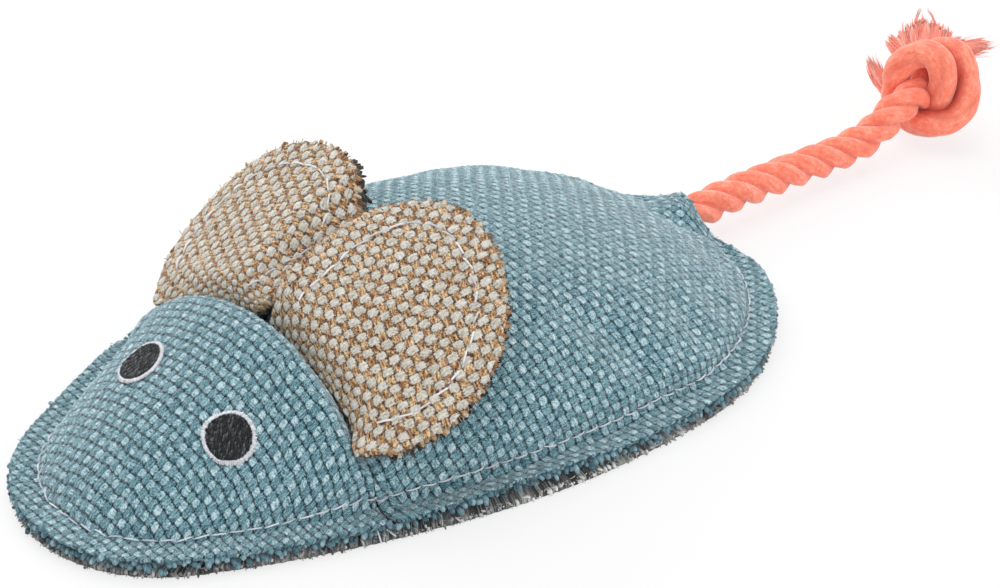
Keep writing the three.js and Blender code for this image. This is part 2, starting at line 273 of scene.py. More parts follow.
def threadFinish(name, tones, roughness, twist=1.1, sheen=(0.25, 0.5, white)):  # spun thread or yarn
    material, start = startMaterial(name)
    thread = start.node("ShaderNodeAttribute", {"attribute_name": "thread"}, {}, 1)
    along, around, own = splitAxes(thread)
    ply = ((along * twist + around * 2) * (2 * math.pi)).sum("SINE")
    fibre = grain(joinAxes(along * 2, around * 9, own * 40), 1.0, 2.0)
    shade = 0.35 + ply * 0.12 + (fibre - 0.5) * 0.6 + (own - 0.5) * 0.7
    finishSurface(start, ramp(shade, tones), roughness, ply * 0.5 + fibre, 0.5, 0.08, sheen)
    return material


# the gap tones below are painted shade between the threads
plainWeave = {"warpThick": 0.34, "weftThick": 0.34, "warpRise": 0.45, "weftRise": 0.45, "warpHalf": 0.5,
              "weftHalf": 0.5, "fuzzScale": 3.6, "shake": 0.9, "ragged": 0.4, "square": 1.4, "run": 1.7,
              "fine": 8.0, "fibreLift": 0.8, "fuzzLift": 0.9, "gapFrom": 0.1, "gapTo": 0.45, "gapRagged": 0.4,
              "roughness": 0.95, "bump": 0.8, "sheen": (0.2, 0.5, white)}
blueCloth = clothFinish("blueCloth", plainWeave | {
    "weftThick": 0.32, "warpRise": 0.42, "weftRise": 0.46, "warpHalf": 0.57, "weftHalf": 0.44,
    "fuzzScale": 6.5, "shake": 0.4, "square": 1.3, "run": 1.4, "fine": 7.5, "uneven": 0.6, "fuzz": 2.4,
    "warpStreak": 2.5, "weftStreak": 2.7, "fibreLift": 0.45, "fuzzLift": 0.45,
    # the warp tones run darker than the weft tones partly as painted shade on the lower warp floats; the rest
    # is the yarns' own heather
    "warpTones": [(34, 74, 88), (106, 152, 165), (184, 219, 228)],
    "weftTones": [(62, 104, 118), (156, 197, 208), (232, 247, 251)],
    "gapTone": (16, 40, 50), "gapFrom": 0.14, "gapTo": 0.58, "gapRagged": 0.55, "bump": 0.9,
    "sheen": (1.0, 0.26, (0.94, 0.98, 1, 1))})
greyCloth = clothFinish("greyCloth", plainWeave | {
    "uneven": 1.8, "fuzz": 2.2, "warpStreak": 2.2, "weftStreak": 2.4, "gapTone": (22, 22, 24),
    "warpTones": [(34, 34, 36), (84, 85, 86), (160, 160, 157)],
    "weftTones": [(40, 40, 42), (110, 111, 111), (206, 206, 200)]})
beigeCloth = clothFinish("beigeCloth", plainWeave | {
    "warpThick": 0.3, "weftThick": 0.36, "warpRise": 0.46, "weftRise": 0.36, "weftHalf": 0.44,
    "fuzzScale": 4.8, "shake": 0.5, "ragged": 0.45, "square": 1.3, "run": 1.3, "fine": 5.0, "uneven": 0.6,
    "fuzz": 1.9, "warpStreak": 1.9, "weftStreak": 3.6, "fibreLift": 0.45, "fuzzLift": 0.5,
    "warpTones": [(150, 142, 126), (214, 209, 197), (246, 244, 238)],
    "weftTones": [(78, 46, 30), (146, 104, 70), (198, 162, 118), (238, 216, 182)],
    "gapTone": (74, 52, 38), "gapTo": 0.42, "bump": 0.9, "sheen": (0.25, 0.5, white)})
charcoalCloth = clothFinish("charcoalCloth", plainWeave | {
    "warpRise": 0.4, "uneven": 1.2, "fuzz": 2.0, "warpStreak": 2.0, "weftStreak": 2.2,
    "gapTone": (18, 18, 18),
    "warpTones": [(30, 29, 29), (62, 60, 58), (116, 113, 108)],
    "weftTones": [(36, 35, 35), (84, 82, 79), (156, 153, 146)]})
blueYarn = threadFinish("blueYarn", [(58, 92, 106), (112, 150, 162), (180, 206, 213)], 0.92)
greyYarn = threadFinish("greyYarn", [(84, 84, 86), (164, 165, 164), (240, 240, 237)], 0.94)
beigeYarn = threadFinish("beigeYarn", [(104, 66, 40), (176, 136, 92), (206, 190, 164), (224, 220, 210)], 0.93)
whiteThread = threadFinish("whiteThread", [(198, 200, 207), (234, 236, 241), (252, 252, 254)], 0.6)
# the palest black-thread tone is painted highlight, speckled shine on the stitches; the darker tones are the
# thread's own black
blackThread = threadFinish("blackThread", [(8, 10, 12), (25, 28, 31), (124, 130, 134)], 0.6)
print("materials ready")

# The stuffed shape, in millimetres, as the frame has it
shape = {"length": 140, "noseRadius": 26, "rumpRadius": 44, "flankRadius": 162, "allowance": 5,
         "flangeTop": 3.2, "flangeBottom": 1.9, "crown": 23.4, "nosePower": 0.88, "rumpPower": 0.95,
         "archPower": 1.9, "seamX": -26.5, "seamRadius": 220, "creaseDepth": 3.2, "creaseReach": 5,
         "stitchInset": 5.2, "tailY": -1.5, "hoodRise": 5.9, "hoodWidth": 7.5, "hoodFrom": 42, "hoodTo": 60,
         "hoodBlend": 0.6, "hoodSink": 0.35, "cutBack": 0.8, "trim": 5.4, "trimY": -5, "trimReach": 9,
         "trimFade": 9, "rearFrom": 40, "corner": 2, "cornerY": 16, "cornerReach": 5.5, "headSoft": 0.2,
         "softFrom": -30, "softTo": -46, "headFull": 2.7, "headLean": 0.09, "leanReach": 20, "headBack": 3,
         "headReach": 8}
skins = []  # the sewn top, for what is laid on it
noseX = -shape["length"] / 2
noseCentre = noseX + shape["noseRadius"]
rumpCentre = -noseX - shape["rumpRadius"]
toNose = shape["flankRadius"] - shape["noseRadius"]
toRump = shape["flankRadius"] - shape["rumpRadius"]
flankAlong = (toNose ** 2 - toRump ** 2 + (rumpCentre - noseCentre) ** 2) / (2 * (rumpCentre - noseCentre))
flankX = noseCentre + flankAlong
flankY = math.sqrt(toNose ** 2 - flankAlong ** 2)


def halfWidth(x, inset):
    def along(centre, radius):
        return np.sqrt(np.maximum(radius ** 2 - (x - centre) ** 2, 0))
    noseEnd = noseCentre - (shape["noseRadius"] - inset) * flankAlong / toNose
    rumpEnd = rumpCentre + (shape["rumpRadius"] - inset) * (rumpCentre - flankX) / toRump
    flank = along(flankX, shape["flankRadius"] - inset) - flankY
    ends = np.where(x < noseEnd, along(noseCentre, shape["noseRadius"] - inset),
                    along(rumpCentre, shape["rumpRadius"] - inset))
    return np.where((x < noseEnd) | (x > rumpEnd), ends, flank)


def insetOf(x, y):  # distance in from the cut edge
    low = -np.abs(y) - flankY
    noseSide = (noseCentre - flankX) * low + flankY * (x - flankX)
    rumpSide = (rumpCentre - flankX) * low + flankY * (x - flankX)
    flank = shape["flankRadius"] - np.hypot(x - flankX, low)
    nose = shape["noseRadius"] - np.hypot(x - noseCentre, y)
    rump = shape["rumpRadius"] - np.hypot(x - rumpCentre, y)
    return np.where(noseSide < 0, nose, np.where(rumpSide > 0, rump, flank))


def crossSeam(y):
    return shape["seamX"] - shape["seamRadius"] + np.sqrt(np.maximum(shape["seamRadius"] ** 2 - y ** 2, 0))


def domeHeight(x, y):  # above the flange
    inset = shape["allowance"]
    share = np.clip((x - noseX - inset) / (shape["length"] - 2 * inset), 0, 1)
    peak = shape["nosePower"] / (shape["nosePower"] + shape["rumpPower"])
    profile = (share / peak) ** shape["nosePower"] * ((1 - share) / (1 - peak)) ** shape["rumpPower"]
    arch = 1 - np.minimum(np.abs(y) / np.maximum(halfWidth(x, inset), 1e-6), 1) ** shape["archPower"]
    arch = arch ** (0.5 + shape["headSoft"] * smooth(shape["softFrom"], shape["softTo"], x))
    gap = x - crossSeam(y)
    crease = -shape["creaseDepth"] * hump(gap, 0, shape["creaseReach"])
    crest = shape["headFull"] - shape["headLean"] * np.clip(y, -shape["leanReach"], shape["leanReach"])
    crest = crest * hump(gap, -shape["headBack"], shape["headReach"])
    return (shape["crown"] + np.where(gap < 0, crest, crease)) * profile * arch


def topHeight(x, y):  # the sewn top, tented over the tail
    dome = domeHeight(x, y)
    hood = shape["hoodRise"] * hump(y, shape["tailY"], shape["hoodWidth"])
    hood = hood * smooth(shape["hoodFrom"], shape["hoodTo"], x)
    joined = (dome + hood + np.sqrt((dome - hood) ** 2 + shape["hoodBlend"])) / 2
    return shape["flangeTop"] + joined - shape["hoodSink"]


def outline(inset):  # closed line at an inset from the cut edge, with the edge trimmed at the tail
    return trimmed(plainOutline(inset), inset)


def plainOutline(inset, step=0.25):
    noseAngle = math.atan2(flankY, flankX - noseCentre)
    rumpAngle = math.atan2(flankY, flankX - rumpCentre)
    arcs = [(flankX, flankY, "flankRadius", noseAngle + math.pi, rumpAngle + math.pi),
            (rumpCentre, 0, "rumpRadius", rumpAngle - math.pi, math.pi - rumpAngle),
            (flankX, -flankY, "flankRadius", math.pi - rumpAngle, math.pi - noseAngle),
            (noseCentre, 0, "noseRadius", math.pi - noseAngle, math.pi + noseAngle)]
    points = []
    for x, y, radius, first, last in arcs:
        reach = shape[radius] - inset
        turn = np.linspace(first, last, max(int(abs(last - first) * reach / step), 2))[:-1]
        points.append(np.c_[x + reach * np.cos(turn), y + reach * np.sin(turn)])
    return np.concatenate(points)


def atCorner(y):  # the far rear corner, cut a little shorter
    return hump(y, shape["cornerY"], shape["cornerReach"])


def trimmed(points, inset):  # the cut edge is shorter where the tail comes out
    pull = shape["trim"] * hump(points[:, 1], shape["trimY"], shape["trimReach"])
    pull += shape["corner"] * atCorner(points[:, 1])
    moved = points.copy()
    moved[:, 0] -= pull * smooth(shape["trimFade"], 0, inset) * (points[:, 0] > shape["rearFrom"])
    return moved


def unroll(x, y, count=240):  # arc length across the top, from the middle to a point
    ys = np.abs(y)[:, None] * np.linspace(0, 1, count)
    zs = domeHeight(x[:, None], ys)
    return np.sign(y) * np.hypot(np.diff(ys), np.diff(zs)).sum(1)


def rollUp(x, arc, count=240):  # the other way: y at an arc length
    edge = halfWidth(x, 0)
    ys = edge[:, None] * np.linspace(0, 1, count)
    zs = domeHeight(x[:, None], ys)
    arcs = np.c_[np.zeros(len(x)), np.cumsum(np.hypot(np.diff(ys), np.diff(zs)), 1)]
    size = np.abs(arc)
    y = np.array([np.interp(s, row, line) for s, row, line in zip(size, arcs, ys)])
    return np.sign(arc) * np.where(size > arcs[:, -1], edge + size - arcs[:, -1], y)


def clothGrid(name, threads):  # one face for each crossing of two threads
    deselectAll()
    bpy.ops.mesh.primitive_grid_add(x_subdivisions=threads, y_subdivisions=threads, size=threads * mm)
    piece = bpy.context.object
    piece.name = piece.data.name = name
    return piece


def faceMiddles(piece, values):  # a value at each face of a grid, from its corners
    return values[pulled(piece.data.polygons, "vertices", 4, np.int32)].mean(1)


def keepFaces(piece, keep):
    mesh = piece.data
    mesh.vertices.foreach_set("select", np.zeros(len(mesh.vertices), bool))
    mesh.edges.foreach_set("select", np.zeros(len(mesh.edges), bool))
    mesh.polygons.foreach_set("select", ~keep)
    makeActive(piece)
    bpy.ops.object.mode_set(mode="EDIT")
    bpy.ops.mesh.select_mode(type="FACE")
    bpy.ops.mesh.delete(type="FACE")
    bpy.ops.mesh.select_mode(type="VERT")
    bpy.ops.mesh.select_all(action="DESELECT")
    bpy.ops.mesh.select_loose()
    bpy.ops.mesh.delete(type="VERT")
    bpy.ops.object.mode_set(mode="OBJECT")


def edgesOf(piece):  # corner pairs, and which corners are on the cut edge
    mesh = piece.data
    pairs = pulled(mesh.edges, "vertices", 2, np.int32)
    sides = pulled(mesh.loops, "edge_index", 1, np.int32)
    onEdge = np.zeros(len(mesh.vertices), bool)
    onEdge[pairs[np.bincount(sides, minlength=len(pairs)) == 1]] = True
    return pairs, onEdge


def faceCorners(piece):
    return pulled(piece.data.loops, "vertex_index", 1, np.int32)


def writeWeave(piece, threads):  # each corner's place, counted in threads
    layer = piece.data.uv_layers[0]
    layer.name = "weave"
    layer.data.foreach_set("uv", threads[faceCorners(piece)].astype(np.float32).ravel())


def readWeave(piece):
    threads = np.zeros((len(piece.data.vertices), 2))
    threads[faceCorners(piece)] = pulled(piece.data.uv_layers["weave"].data, "uv", 2)
    return threads


def wander(threads, size):  # hand of the cloth: threads that aren't quite straight or even
    x, y = threads.T
    aside = np.sin(1.31 * y + 2.0 * np.sin(0.43 * x + 0.6)) + 0.7 * np.sin(2.7 * x + 1.6 * y + 1.1)
    along = np.sin(1.17 * x + 2.0 * np.sin(0.39 * y + 2.2)) + 0.7 * np.sin(2.9 * y - 1.4 * x + 0.4)
    return threads + size * np.c_[aside, along]


def weaveRelief(threads, cloth):  # height of the threads, in millimetres
    cell = np.floor(threads + 1e-6)
    u, v = (threads - cell - 0.5).T
    facing = 1 - 2 * ((cell[:, 0] + cell[:, 1]) % 2)
    thickness = 1 + 0.22 * np.sin(cell * [12.9, 7.3] + 4 * np.sin(cell * 2.1))
    warp = cloth["thick"] * thickness[:, 1] + cloth["warpRise"] * facing * np.cos(np.pi * u)
    weft = cloth["thick"] * thickness[:, 0] - cloth["weftRise"] * facing * np.cos(np.pi * v)
    warp = warp * np.sqrt(np.maximum(1 - 4 * v * v, 0))
    weft = weft * np.sqrt(np.maximum(1 - 4 * u * u, 0))
    return np.maximum(warp, weft)


def normalsOf(piece):
    return pulled(piece.data.vertex_normals, "vector", 3).astype(float)


def raiseWeave(piece, cloth, sunk=0.0):  # the threads stand out of the cloth
    points, threads = readPoints(piece), wander(readWeave(piece), cloth["wander"])
    writeWeave(piece, threads)
    relief = weaveRelief(threads, cloth) - cloth["thick"] - sunk
    writePoints(piece, points + normalsOf(piece) * relief[:, None])


def refine(piece, levels):
    applyModifier(piece, "SUBSURF", levels=levels, render_levels=levels, uv_smooth="NONE",
                  boundary_smooth="ALL")


def selectedRing(piece, inset):  # the corners just extruded, drawn in towards the middle
    bpy.ops.object.mode_set(mode="OBJECT")
    ring = pulled(piece.data.vertices, "select", 1, bool)
    points = readPoints(piece)
    points[ring, :2] += inset * unit(points[ring].mean(0)[:2] - points[ring, :2])
    return points, ring


def closeUnder(piece, lip, lipInset, inset, level):  # turns the cut edge under and closes the form
    makeActive(piece)
    bpy.ops.object.mode_set(mode="EDIT")
    bpy.ops.mesh.select_mode(type="VERT")
    bpy.ops.mesh.select_all(action="DESELECT")
    bpy.ops.mesh.select_non_manifold(extend=False, use_wire=False, use_multi_face=False,
                                     use_non_contiguous=False, use_verts=False)
    bpy.ops.mesh.extrude_region_move(TRANSFORM_OT_translate={"value": (0, 0, -lip * mm)})
    writePoints(piece, selectedRing(piece, lipInset)[0])
    bpy.ops.object.mode_set(mode="EDIT")
    bpy.ops.mesh.extrude_region_move()
    points, ring = selectedRing(piece, inset)
    points[ring, 2] = level
    writePoints(piece, points)
    bpy.ops.object.mode_set(mode="EDIT")
    bpy.ops.mesh.edge_face_add()
    bpy.ops.mesh.select_all(action="SELECT")
    bpy.ops.mesh.normals_make_consistent(inside=False)
    bpy.ops.object.mode_set(mode="OBJECT")
    bpy.ops.object.shade_smooth()


def puff(piece, pinned, fill):  # stuffing presses the cloth out between its seams
    start = readPoints(piece)
    group = piece.vertex_groups.new(name="sewn")
    group.add([int(k) for k in np.flatnonzero(pinned)], 1.0, "REPLACE")
    makeActive(piece)
    cloth = piece.modifiers.new("cloth", "CLOTH")
    for key, value in fill["cloth"].items():
        setattr(cloth.settings, key, value)
    cloth.settings.effector_weights.gravity = 0
    cloth.collision_settings.use_collision = False
    cloth.point_cache.frame_end = fill["frames"]
    for number in range(1, fill["frames"] + 1):
        bpy.context.scene.frame_set(number)
    bpy.ops.object.modifier_apply(modifier="cloth")
    bpy.context.scene.frame_set(1)
    piece.vertex_groups.clear()
    moved = readPoints(piece) - start
    size = np.linalg.norm(moved, axis=1, keepdims=True)
    writePoints(piece, start + moved * np.minimum(1, fill["cap"] / np.maximum(size, 1e-6)))
    print("puffed", piece.name, "by", size.mean().round(2), "mm, most", size.max().round(2))


def relax(points, pairs, rests, free, rounds=90):  # evens out the threads on the dome
    step, share, most = 0.05, 0.25, 0.3
    for _ in range(rounds):
        line = points[pairs[:, 1]] - points[pairs[:, 0]]
        size = np.maximum(np.linalg.norm(line, axis=1), 1e-4)
        pull = line * (share * (size - rests) / size)[:, None]
        move = np.zeros_like(points)
        np.add.at(move, pairs[:, 0], pull)
        np.add.at(move, pairs[:, 1], -pull)
        x, y = points[:, 0], points[:, 1]
        slopeX = (topHeight(x + step, y) - topHeight(x - step, y)) / (2 * step)
        slopeY = (topHeight(x, y + step) - topHeight(x, y - step)) / (2 * step)
        normal = unit(np.c_[-slopeX, -slopeY, np.ones(len(x))])
        move -= (move * normal).sum(1, keepdims=True) * normal
        points[free, :2] += np.clip(move[free, :2], -most, most)
        points[:, 2] = np.where(free, topHeight(points[:, 0], points[:, 1]), points[:, 2])
    return points


def spinOf(degrees):  # turns rows of flat places
    turn = math.radians(degrees)
    return np.array([[math.cos(turn), math.sin(turn)], [-math.sin(turn), math.cos(turn)]])


def nearest(line, place):
    return line[np.argmin(np.hypot(*(line - place).T))]


def topPanel(name, cloth, isHead):  # one sewn panel of the top, from its threads up
    piece = clothGrid(name, cloth["threads"])
    spin, pitch = spinOf(cloth["turn"]), np.array(cloth["pitch"])

    def lay(threads):
        flat = (threads * pitch) @ spin
        return flat[:, 0], rollUp(flat[:, 0], flat[:, 1])

    x, y = (faceMiddles(piece, values) for values in lay(readPoints(piece)[:, :2]))
    ahead = x < crossSeam(y)
    onMouse = (np.abs(x) < shape["length"] / 2) & (insetOf(x, y) > shape["cutBack"])
    keepFaces(piece, onMouse & (ahead == isHead))
    threads = readPoints(piece)[:, :2]
    x, y = lay(threads)
    pairs, onEdge = edgesOf(piece)

    cut = plainOutline(shape["cutBack"], cloth["cutStep"])
    seamX = crossSeam(y) + (-1 if isHead else 1) * cloth["seamGap"]
    for k in np.flatnonzero(onEdge):
        place = np.array([x[k], y[k]])
        near = nearest(cut, place)
        if np.hypot(*(near - place)) < abs(seamX[k] - x[k]):
            x[k], y[k] = near + cloth["uneven"] * (place - near)
        else:
            x[k] += (seamX[k] - x[k]) * (1 - cloth["uneven"])
    flat = np.c_[x, unroll(x, y)]
    threads[onEdge] = ((flat @ spin.T) / pitch)[onEdge]
    writeWeave(piece, threads)
    rests = np.linalg.norm((threads[pairs[:, 1]] - threads[pairs[:, 0]]) * pitch, axis=1)
    free = ~onEdge & (insetOf(x, y) > shape["allowance"] + cloth["freeFrom"])
    points = relax(np.c_[x, y, topHeight(x, y)], pairs, rests, free)

    x, y = points[:, 0], points[:, 1]
    inset = insetOf(x, y)
    fromSeam = np.abs(x - crossSeam(y))
    droop = cloth["droop"] * smooth(*cloth["droopY"], y) * smooth(*cloth["droopX"], x)
    points[:, 2] -= (cloth["slack"] + droop) * smooth(*cloth["slackFade"], inset)
    tuck = cloth["tuck"] * np.exp(-(fromSeam / cloth["tuckReach"]) ** cloth["tuckPower"])
    points[:, 2] -= tuck * smooth(*cloth["tuckFade"], inset)
    angle = np.arctan2(y / cloth["narrow"], x)
    ripple = sum(np.sin(angle * waves + start) * size for waves, start, size in cloth["waves"])
    lift = cloth["lift"] * hump(x, cloth["liftX"], cloth["liftReach"]) * (y < 0)
    lift = lift - cloth["droop"] * atCorner(y) * (x > shape["rearFrom"])
    points[:, 2] += (cloth["ripple"] * ripple + lift) * smooth(shape["stitchInset"], 0, inset)
    writePoints(piece, trimmed(points, inset))
    pinned = onEdge | (inset < shape["allowance"] + cloth["pinFrom"]) | (fromSeam < cloth["seamPin"])
    puff(piece, pinned, cloth["fill"])
    refine(piece, 2)

    skins.append(BVHTree.FromObject(piece, bpy.context.evaluated_depsgraph_get()))
    inset = insetOf(*readPoints(piece)[:, :2].T)
    raiseWeave(piece, cloth, cloth["groove"] * hump(inset, shape["stitchInset"], cloth["grooveReach"]))
    closeUnder(piece, cloth["edge"], cloth["edgeIn"], cloth["closeIn"], shape["flangeBottom"])
    return piece


sewn = {"wander": 0.06, "thick": 0.16, "warpRise": 0.24, "weftRise": 0.3, "cutStep": 0.05, "seamGap": 0.15,
        "uneven": 0.06, "freeFrom": 0.4, "lift": 0, "liftX": -8, "liftReach": 13, "droop": 0,
        "droopX": (44, 24), "droopY": (10, 28), "slackFade": (5, 14), "tuckFade": (4, 11), "tuckPower": 1.2,
        "pinFrom": 0.6, "seamPin": 1.4, "narrow": 0.6,
        "waves": [(9, 0.7, 0.5), (17, 2.1, 0.35), (31, 4.4, 0.25)],
        "groove": 0.5, "grooveReach": 0.75, "edge": 1.2, "edgeIn": 0.8, "closeIn": 1.5,
        "fill": {"frames": 20, "cap": 1.3, "cloth": {
            "vertex_group_mass": "sewn", "quality": 6, "mass": 0.0004, "tension_stiffness": 12,
            "compression_stiffness": 12, "shear_stiffness": 4.8, "bending_stiffness": 0.6,
            "shrink_min": -0.012, "use_pressure": True, "uniform_pressure_force": 6}}}
head = sewn | {"threads": 112, "turn": 1, "pitch": (1.5, 1.2), "slack": 0, "tuck": 5.0, "tuckReach": 1.5,
               "ripple": 0.25}
headCloth = topPanel("head_cloth", head, True)
print("head panel", len(headCloth.data.polygons), "faces")
body = sewn | {"threads": 132, "turn": 7.5, "pitch": (1.6, 1.5), "slack": 0.7, "tuck": 2.2, "tuckReach": 1.6,
               "ripple": 0.3, "lift": 1.6, "droop": 1.2}
bodyCloth = topPanel("body_cloth", body, False)
print("body panel", len(bodyCloth.data.polygons), "faces")
sendHome(headCloth, blueCloth, "mouse", "blue_cloth", "head_panel")
sendHome(bodyCloth, blueCloth, "mouse", "blue_cloth", "body_panel", "fibre_stuffing", "catnip_filling")

# Base panel: flat mottled cloth under the whole mouse
base = {"threads": 104, "turn": -4, "wander": 0.07, "pitch": (1.5, 1.5), "thick": 0.16, "warpRise": 0.12,
        "weftRise": 0.14, "cutBack": 1.1, "under": 0.34, "lowest": 0.02, "edge": 0.8, "closeIn": 1.5,
        "top": 1.55, "show": 0.7, "showX": -2, "showReach": 20, "showFade": 6, "paintedLight": 0.8}


def nearEdge(points):  # where the top's near edge lifts off the base
    return hump(points[:, 0], base["showX"], base["showReach"]) * (points[:, 1] < 0)


def peeping(points, inset):  # the base shows a little more there
    moved = points.copy()
    moved[:, 1] -= base["show"] * nearEdge(points) * smooth(base["showFade"], 0, inset)
    return moved


def basePanel():
    piece = clothGrid("base_cloth", base["threads"])
    spin = spinOf(base["turn"])
    middle = faceMiddles(piece, (readPoints(piece)[:, :2] * base["pitch"]) @ spin)
    keepFaces(piece, insetOf(*middle.T) > base["cutBack"])
    flat = (readPoints(piece)[:, :2] * base["pitch"]) @ spin
    cut = plainOutline(base["cutBack"])
    for k in np.flatnonzero(edgesOf(piece)[1]):
        flat[k] = nearest(cut, flat[k])
    writeWeave(piece, (flat @ spin.T) / base["pitch"])
    inset = insetOf(*flat.T)
    flat = peeping(trimmed(flat, inset), inset)
    writePoints(piece, np.c_[flat, np.full(len(flat), base["under"])])
    refine(piece, 2)
    points = readPoints(piece)
    threads = wander(readWeave(piece), base["wander"])
    writeWeave(piece, threads)
    points[:, 2] = np.maximum(points[:, 2] - weaveRelief(threads, base), base["lowest"])
    writePoints(piece, points)
    closeUnder(piece, -base["edge"], 0, base["closeIn"], base["top"])
    return piece


def areaOf(line):  # flat area inside a closed line
    after = np.roll(line, -1, 0)
    return abs((line[:, 0] * after[:, 1] - line[:, 1] * after[:, 0]).sum()) / 2


baseCloth = basePanel()
sendHome(baseCloth, greyCloth, "mouse", "grey_cloth", "base_panel")
cut = peeping(outline(base["cutBack"]), base["cutBack"])
areaOf(cut) * mm * mm
print("base panel", len(baseCloth.data.polygons), "faces")


def threadMesh(name, points, walls, ends, marks, roundEnds=True):  # a mesh that carries its thread marks
    mesh = bpy.data.meshes.new(name)
    faces = walls.tolist() + ends.tolist()
    mesh.from_pydata((points.reshape(-1, 3) * mm).tolist(), [], faces)
    mesh.polygons.foreach_set("use_smooth", np.arange(len(faces)) < len(walls) + roundEnds * len(ends))
    mesh.attributes.new("thread", "FLOAT_VECTOR", "POINT").data.foreach_set("vector", marks.ravel())
    piece = bpy.data.objects.new(name, mesh)
    bpy.context.scene.collection.objects.link(piece)
    return piece


def tubes(name, paths, radii, sides=6):  # many short threads in one mesh: paths are n x k points
    paths = np.asarray(paths, float)
    count, steps = paths.shape[:2]
    radii = np.broadcast_to(radii, (count, steps))
    tangent = unit(np.gradient(paths, axis=1))
    lean = np.where(np.abs(tangent[..., 2:]) < 0.8, [0.0, 0.0, 1.0], [1.0, 0.0, 0.0])
    first = unit(np.cross(tangent, lean))
    second = np.cross(tangent, first)
    turn = np.arange(sides) * 2 * math.pi / sides
    ring = first[:, :, None] * np.cos(turn)[:, None] + second[:, :, None] * np.sin(turn)[:, None]
    points = paths[:, :, None] + ring * radii[:, :, None, None]
    index = np.arange(count * steps * sides).reshape(count, steps, sides)
    beside = np.roll(index, -1, 2)
    walls = np.stack([index[:, 1:], beside[:, 1:], beside[:, :-1], index[:, :-1]], -1).reshape(-1, 4)
    ends = np.concatenate([index[:, 0], index[:, -1, ::-1]])
    marks = np.zeros((count, steps, sides, 3), np.float32)
    marks[:, 1:, :, 0] = np.cumsum(np.linalg.norm(np.diff(paths, axis=1), axis=2), 1)[:, :, None]
    marks[..., 1] = turn / (2 * math.pi)
    marks[..., 2] = chance.random(count)[:, None, None]
    return threadMesh(name, points, walls, ends, marks)


def distanceAlong(line):  # to each of its points
    return np.r_[0, np.cumsum(np.linalg.norm(np.diff(line, axis=0), axis=1))]


def pointsAt(line, reach, places):  # on a line, at distances along it
    return np.stack([np.interp(places, reach, values) for values in line.T], -1)


def resample(line, step, closed=False):  # points at even steps along a line
    if closed:
        line = np.r_[line, line[:1]]
    reach = distanceAlong(line)
    count = max(int(round(reach[-1] / step)), 2)
    return pointsAt(line, reach, np.linspace(0, reach[-1], count, endpoint=not closed))


cutYarn = {"taper": [1, 1.1, 1.05, 0.65], "rise": 0.3, "hang": (-0.25, 0.3), "offFloor": 0.03, "wild": 2}


def yarnEnds(line, ahead, yarn):  # each cut end with its loose fibres beside it
    each = yarn["fibres"] + 1
    thin = np.tile(np.arange(each) > 0, len(line))
    line, ahead = np.repeat(line, each, 0), np.repeat(ahead, each, 0)
    line = line + ahead * chance.uniform(-0.5, 0.5, (len(line), 1)) * yarn["step"] * thin[:, None]
    return line, ahead, thin


def yarnRadii(yarn, thin):
    thick = chance.uniform(*yarn["radius"], (len(thin), 1)) * np.array(cutYarn["taper"])
    return np.where(thin[:, None], yarn["fibre"], thick)


def fringe(name, line, level, yarn):  # cut yarn ends and loose fibres that stand out of a raw edge
    level = np.repeat(np.broadcast_to(level, len(line)), yarn["fibres"] + 1)
    ahead = unit(np.roll(line, -1, 0) - np.roll(line, 1, 0))
    line, ahead, thin = yarnEnds(line, ahead, yarn)
    outward, count = np.c_[ahead[:, 1], -ahead[:, 0]], len(line)
    wild = np.where(thin, cutYarn["wild"], 1)
    aside = chance.normal(0, yarn["splay"], (count, 1)) * wild[:, None]
    away = unit(np.c_[outward + ahead * aside, chance.normal(0, cutYarn["rise"], count) * wild])
    length = chance.uniform(*yarn["length"], count)
    start = np.c_[line - outward * yarn["root"], level + chance.normal(0, yarn["scatter"], count)]
    t = np.linspace(0, 1, 4)[None, :, None]
    droop = np.c_[np.zeros((count, 2)), chance.normal(*cutYarn["hang"], count)]
    paths = start[:, None] + away[:, None] * (length[:, None, None] * t) + droop[:, None] * t ** 2
    radii = yarnRadii(yarn, thin)
    paths[..., 2] = np.maximum(paths[..., 2], radii + cutYarn["offFloor"])
    return tubes(name, paths, radii, 5)


blueEnds = {"step": 0.72, "splay": 0.4, "length": (0.6, 1.1), "root": 0.6, "scatter": 0.4,
            "radius": (0.3, 0.5), "fibres": 3, "fibre": 0.045, "inside": 0.5, "below": 0.85}
greyEnds = {"step": 0.6, "splay": 0.5, "length": (0.5, 1.3), "root": 0.6, "scatter": 0.22,
            "radius": (0.16, 0.32), "fibres": 3, "fibre": 0.06, "level": 0.8}


def onTop(places):  # heights and normals of the sewn top over flat places
    heights = topHeight(places[:, 0], places[:, 1])
    normals = np.tile([0.0, 0.0, 1.0], (len(places), 1))
    for k, (x, y) in enumerate(places):
        hits = [skin.ray_cast(Vector((x * mm, y * mm, 0.2)), Vector((0, 0, -1))) for skin in skins]
        hits = [hit for hit in hits if hit[0]]
        if hits:
            best = max(hits, key=lambda hit: hit[0].z)
            heights[k], normals[k] = best[0].z / mm, best[1]
    return heights, normals


topEdge = resample(outline(shape["cutBack"]), blueEnds["step"], True)
topLevel = onTop(resample(outline(shape["cutBack"] + blueEnds["inside"]), blueEnds["step"], True))[0]
edgeShare, levelShare = (np.arange(len(rows)) / len(rows) for rows in (topEdge, topLevel))
topLevel = np.interp(edgeShare, levelShare, topLevel)
blueFringe = fringe("top_edge_yarn", topEdge, topLevel - blueEnds["below"], blueEnds)
sendHome(blueFringe, blueYarn, "mouse", "blue_cloth")
greyFringe = fringe("base_edge_yarn", resample(cut, greyEnds["step"], True), greyEnds["level"], greyEnds)
sendHome(greyFringe, greyYarn, "mouse", "grey_cloth")
threadMarks = greyFringe.data.attributes["thread"].data
marks = pulled(threadMarks, "vector", 3)
marks[:, 2] += base["paintedLight"] * nearEdge(readPoints(greyFringe))  # painted light: the yarn is drawn paler where it shows under the lifted near edge, as if lit there
threadMarks.foreach_set("vector", marks.ravel())
print("raw edges fringed")


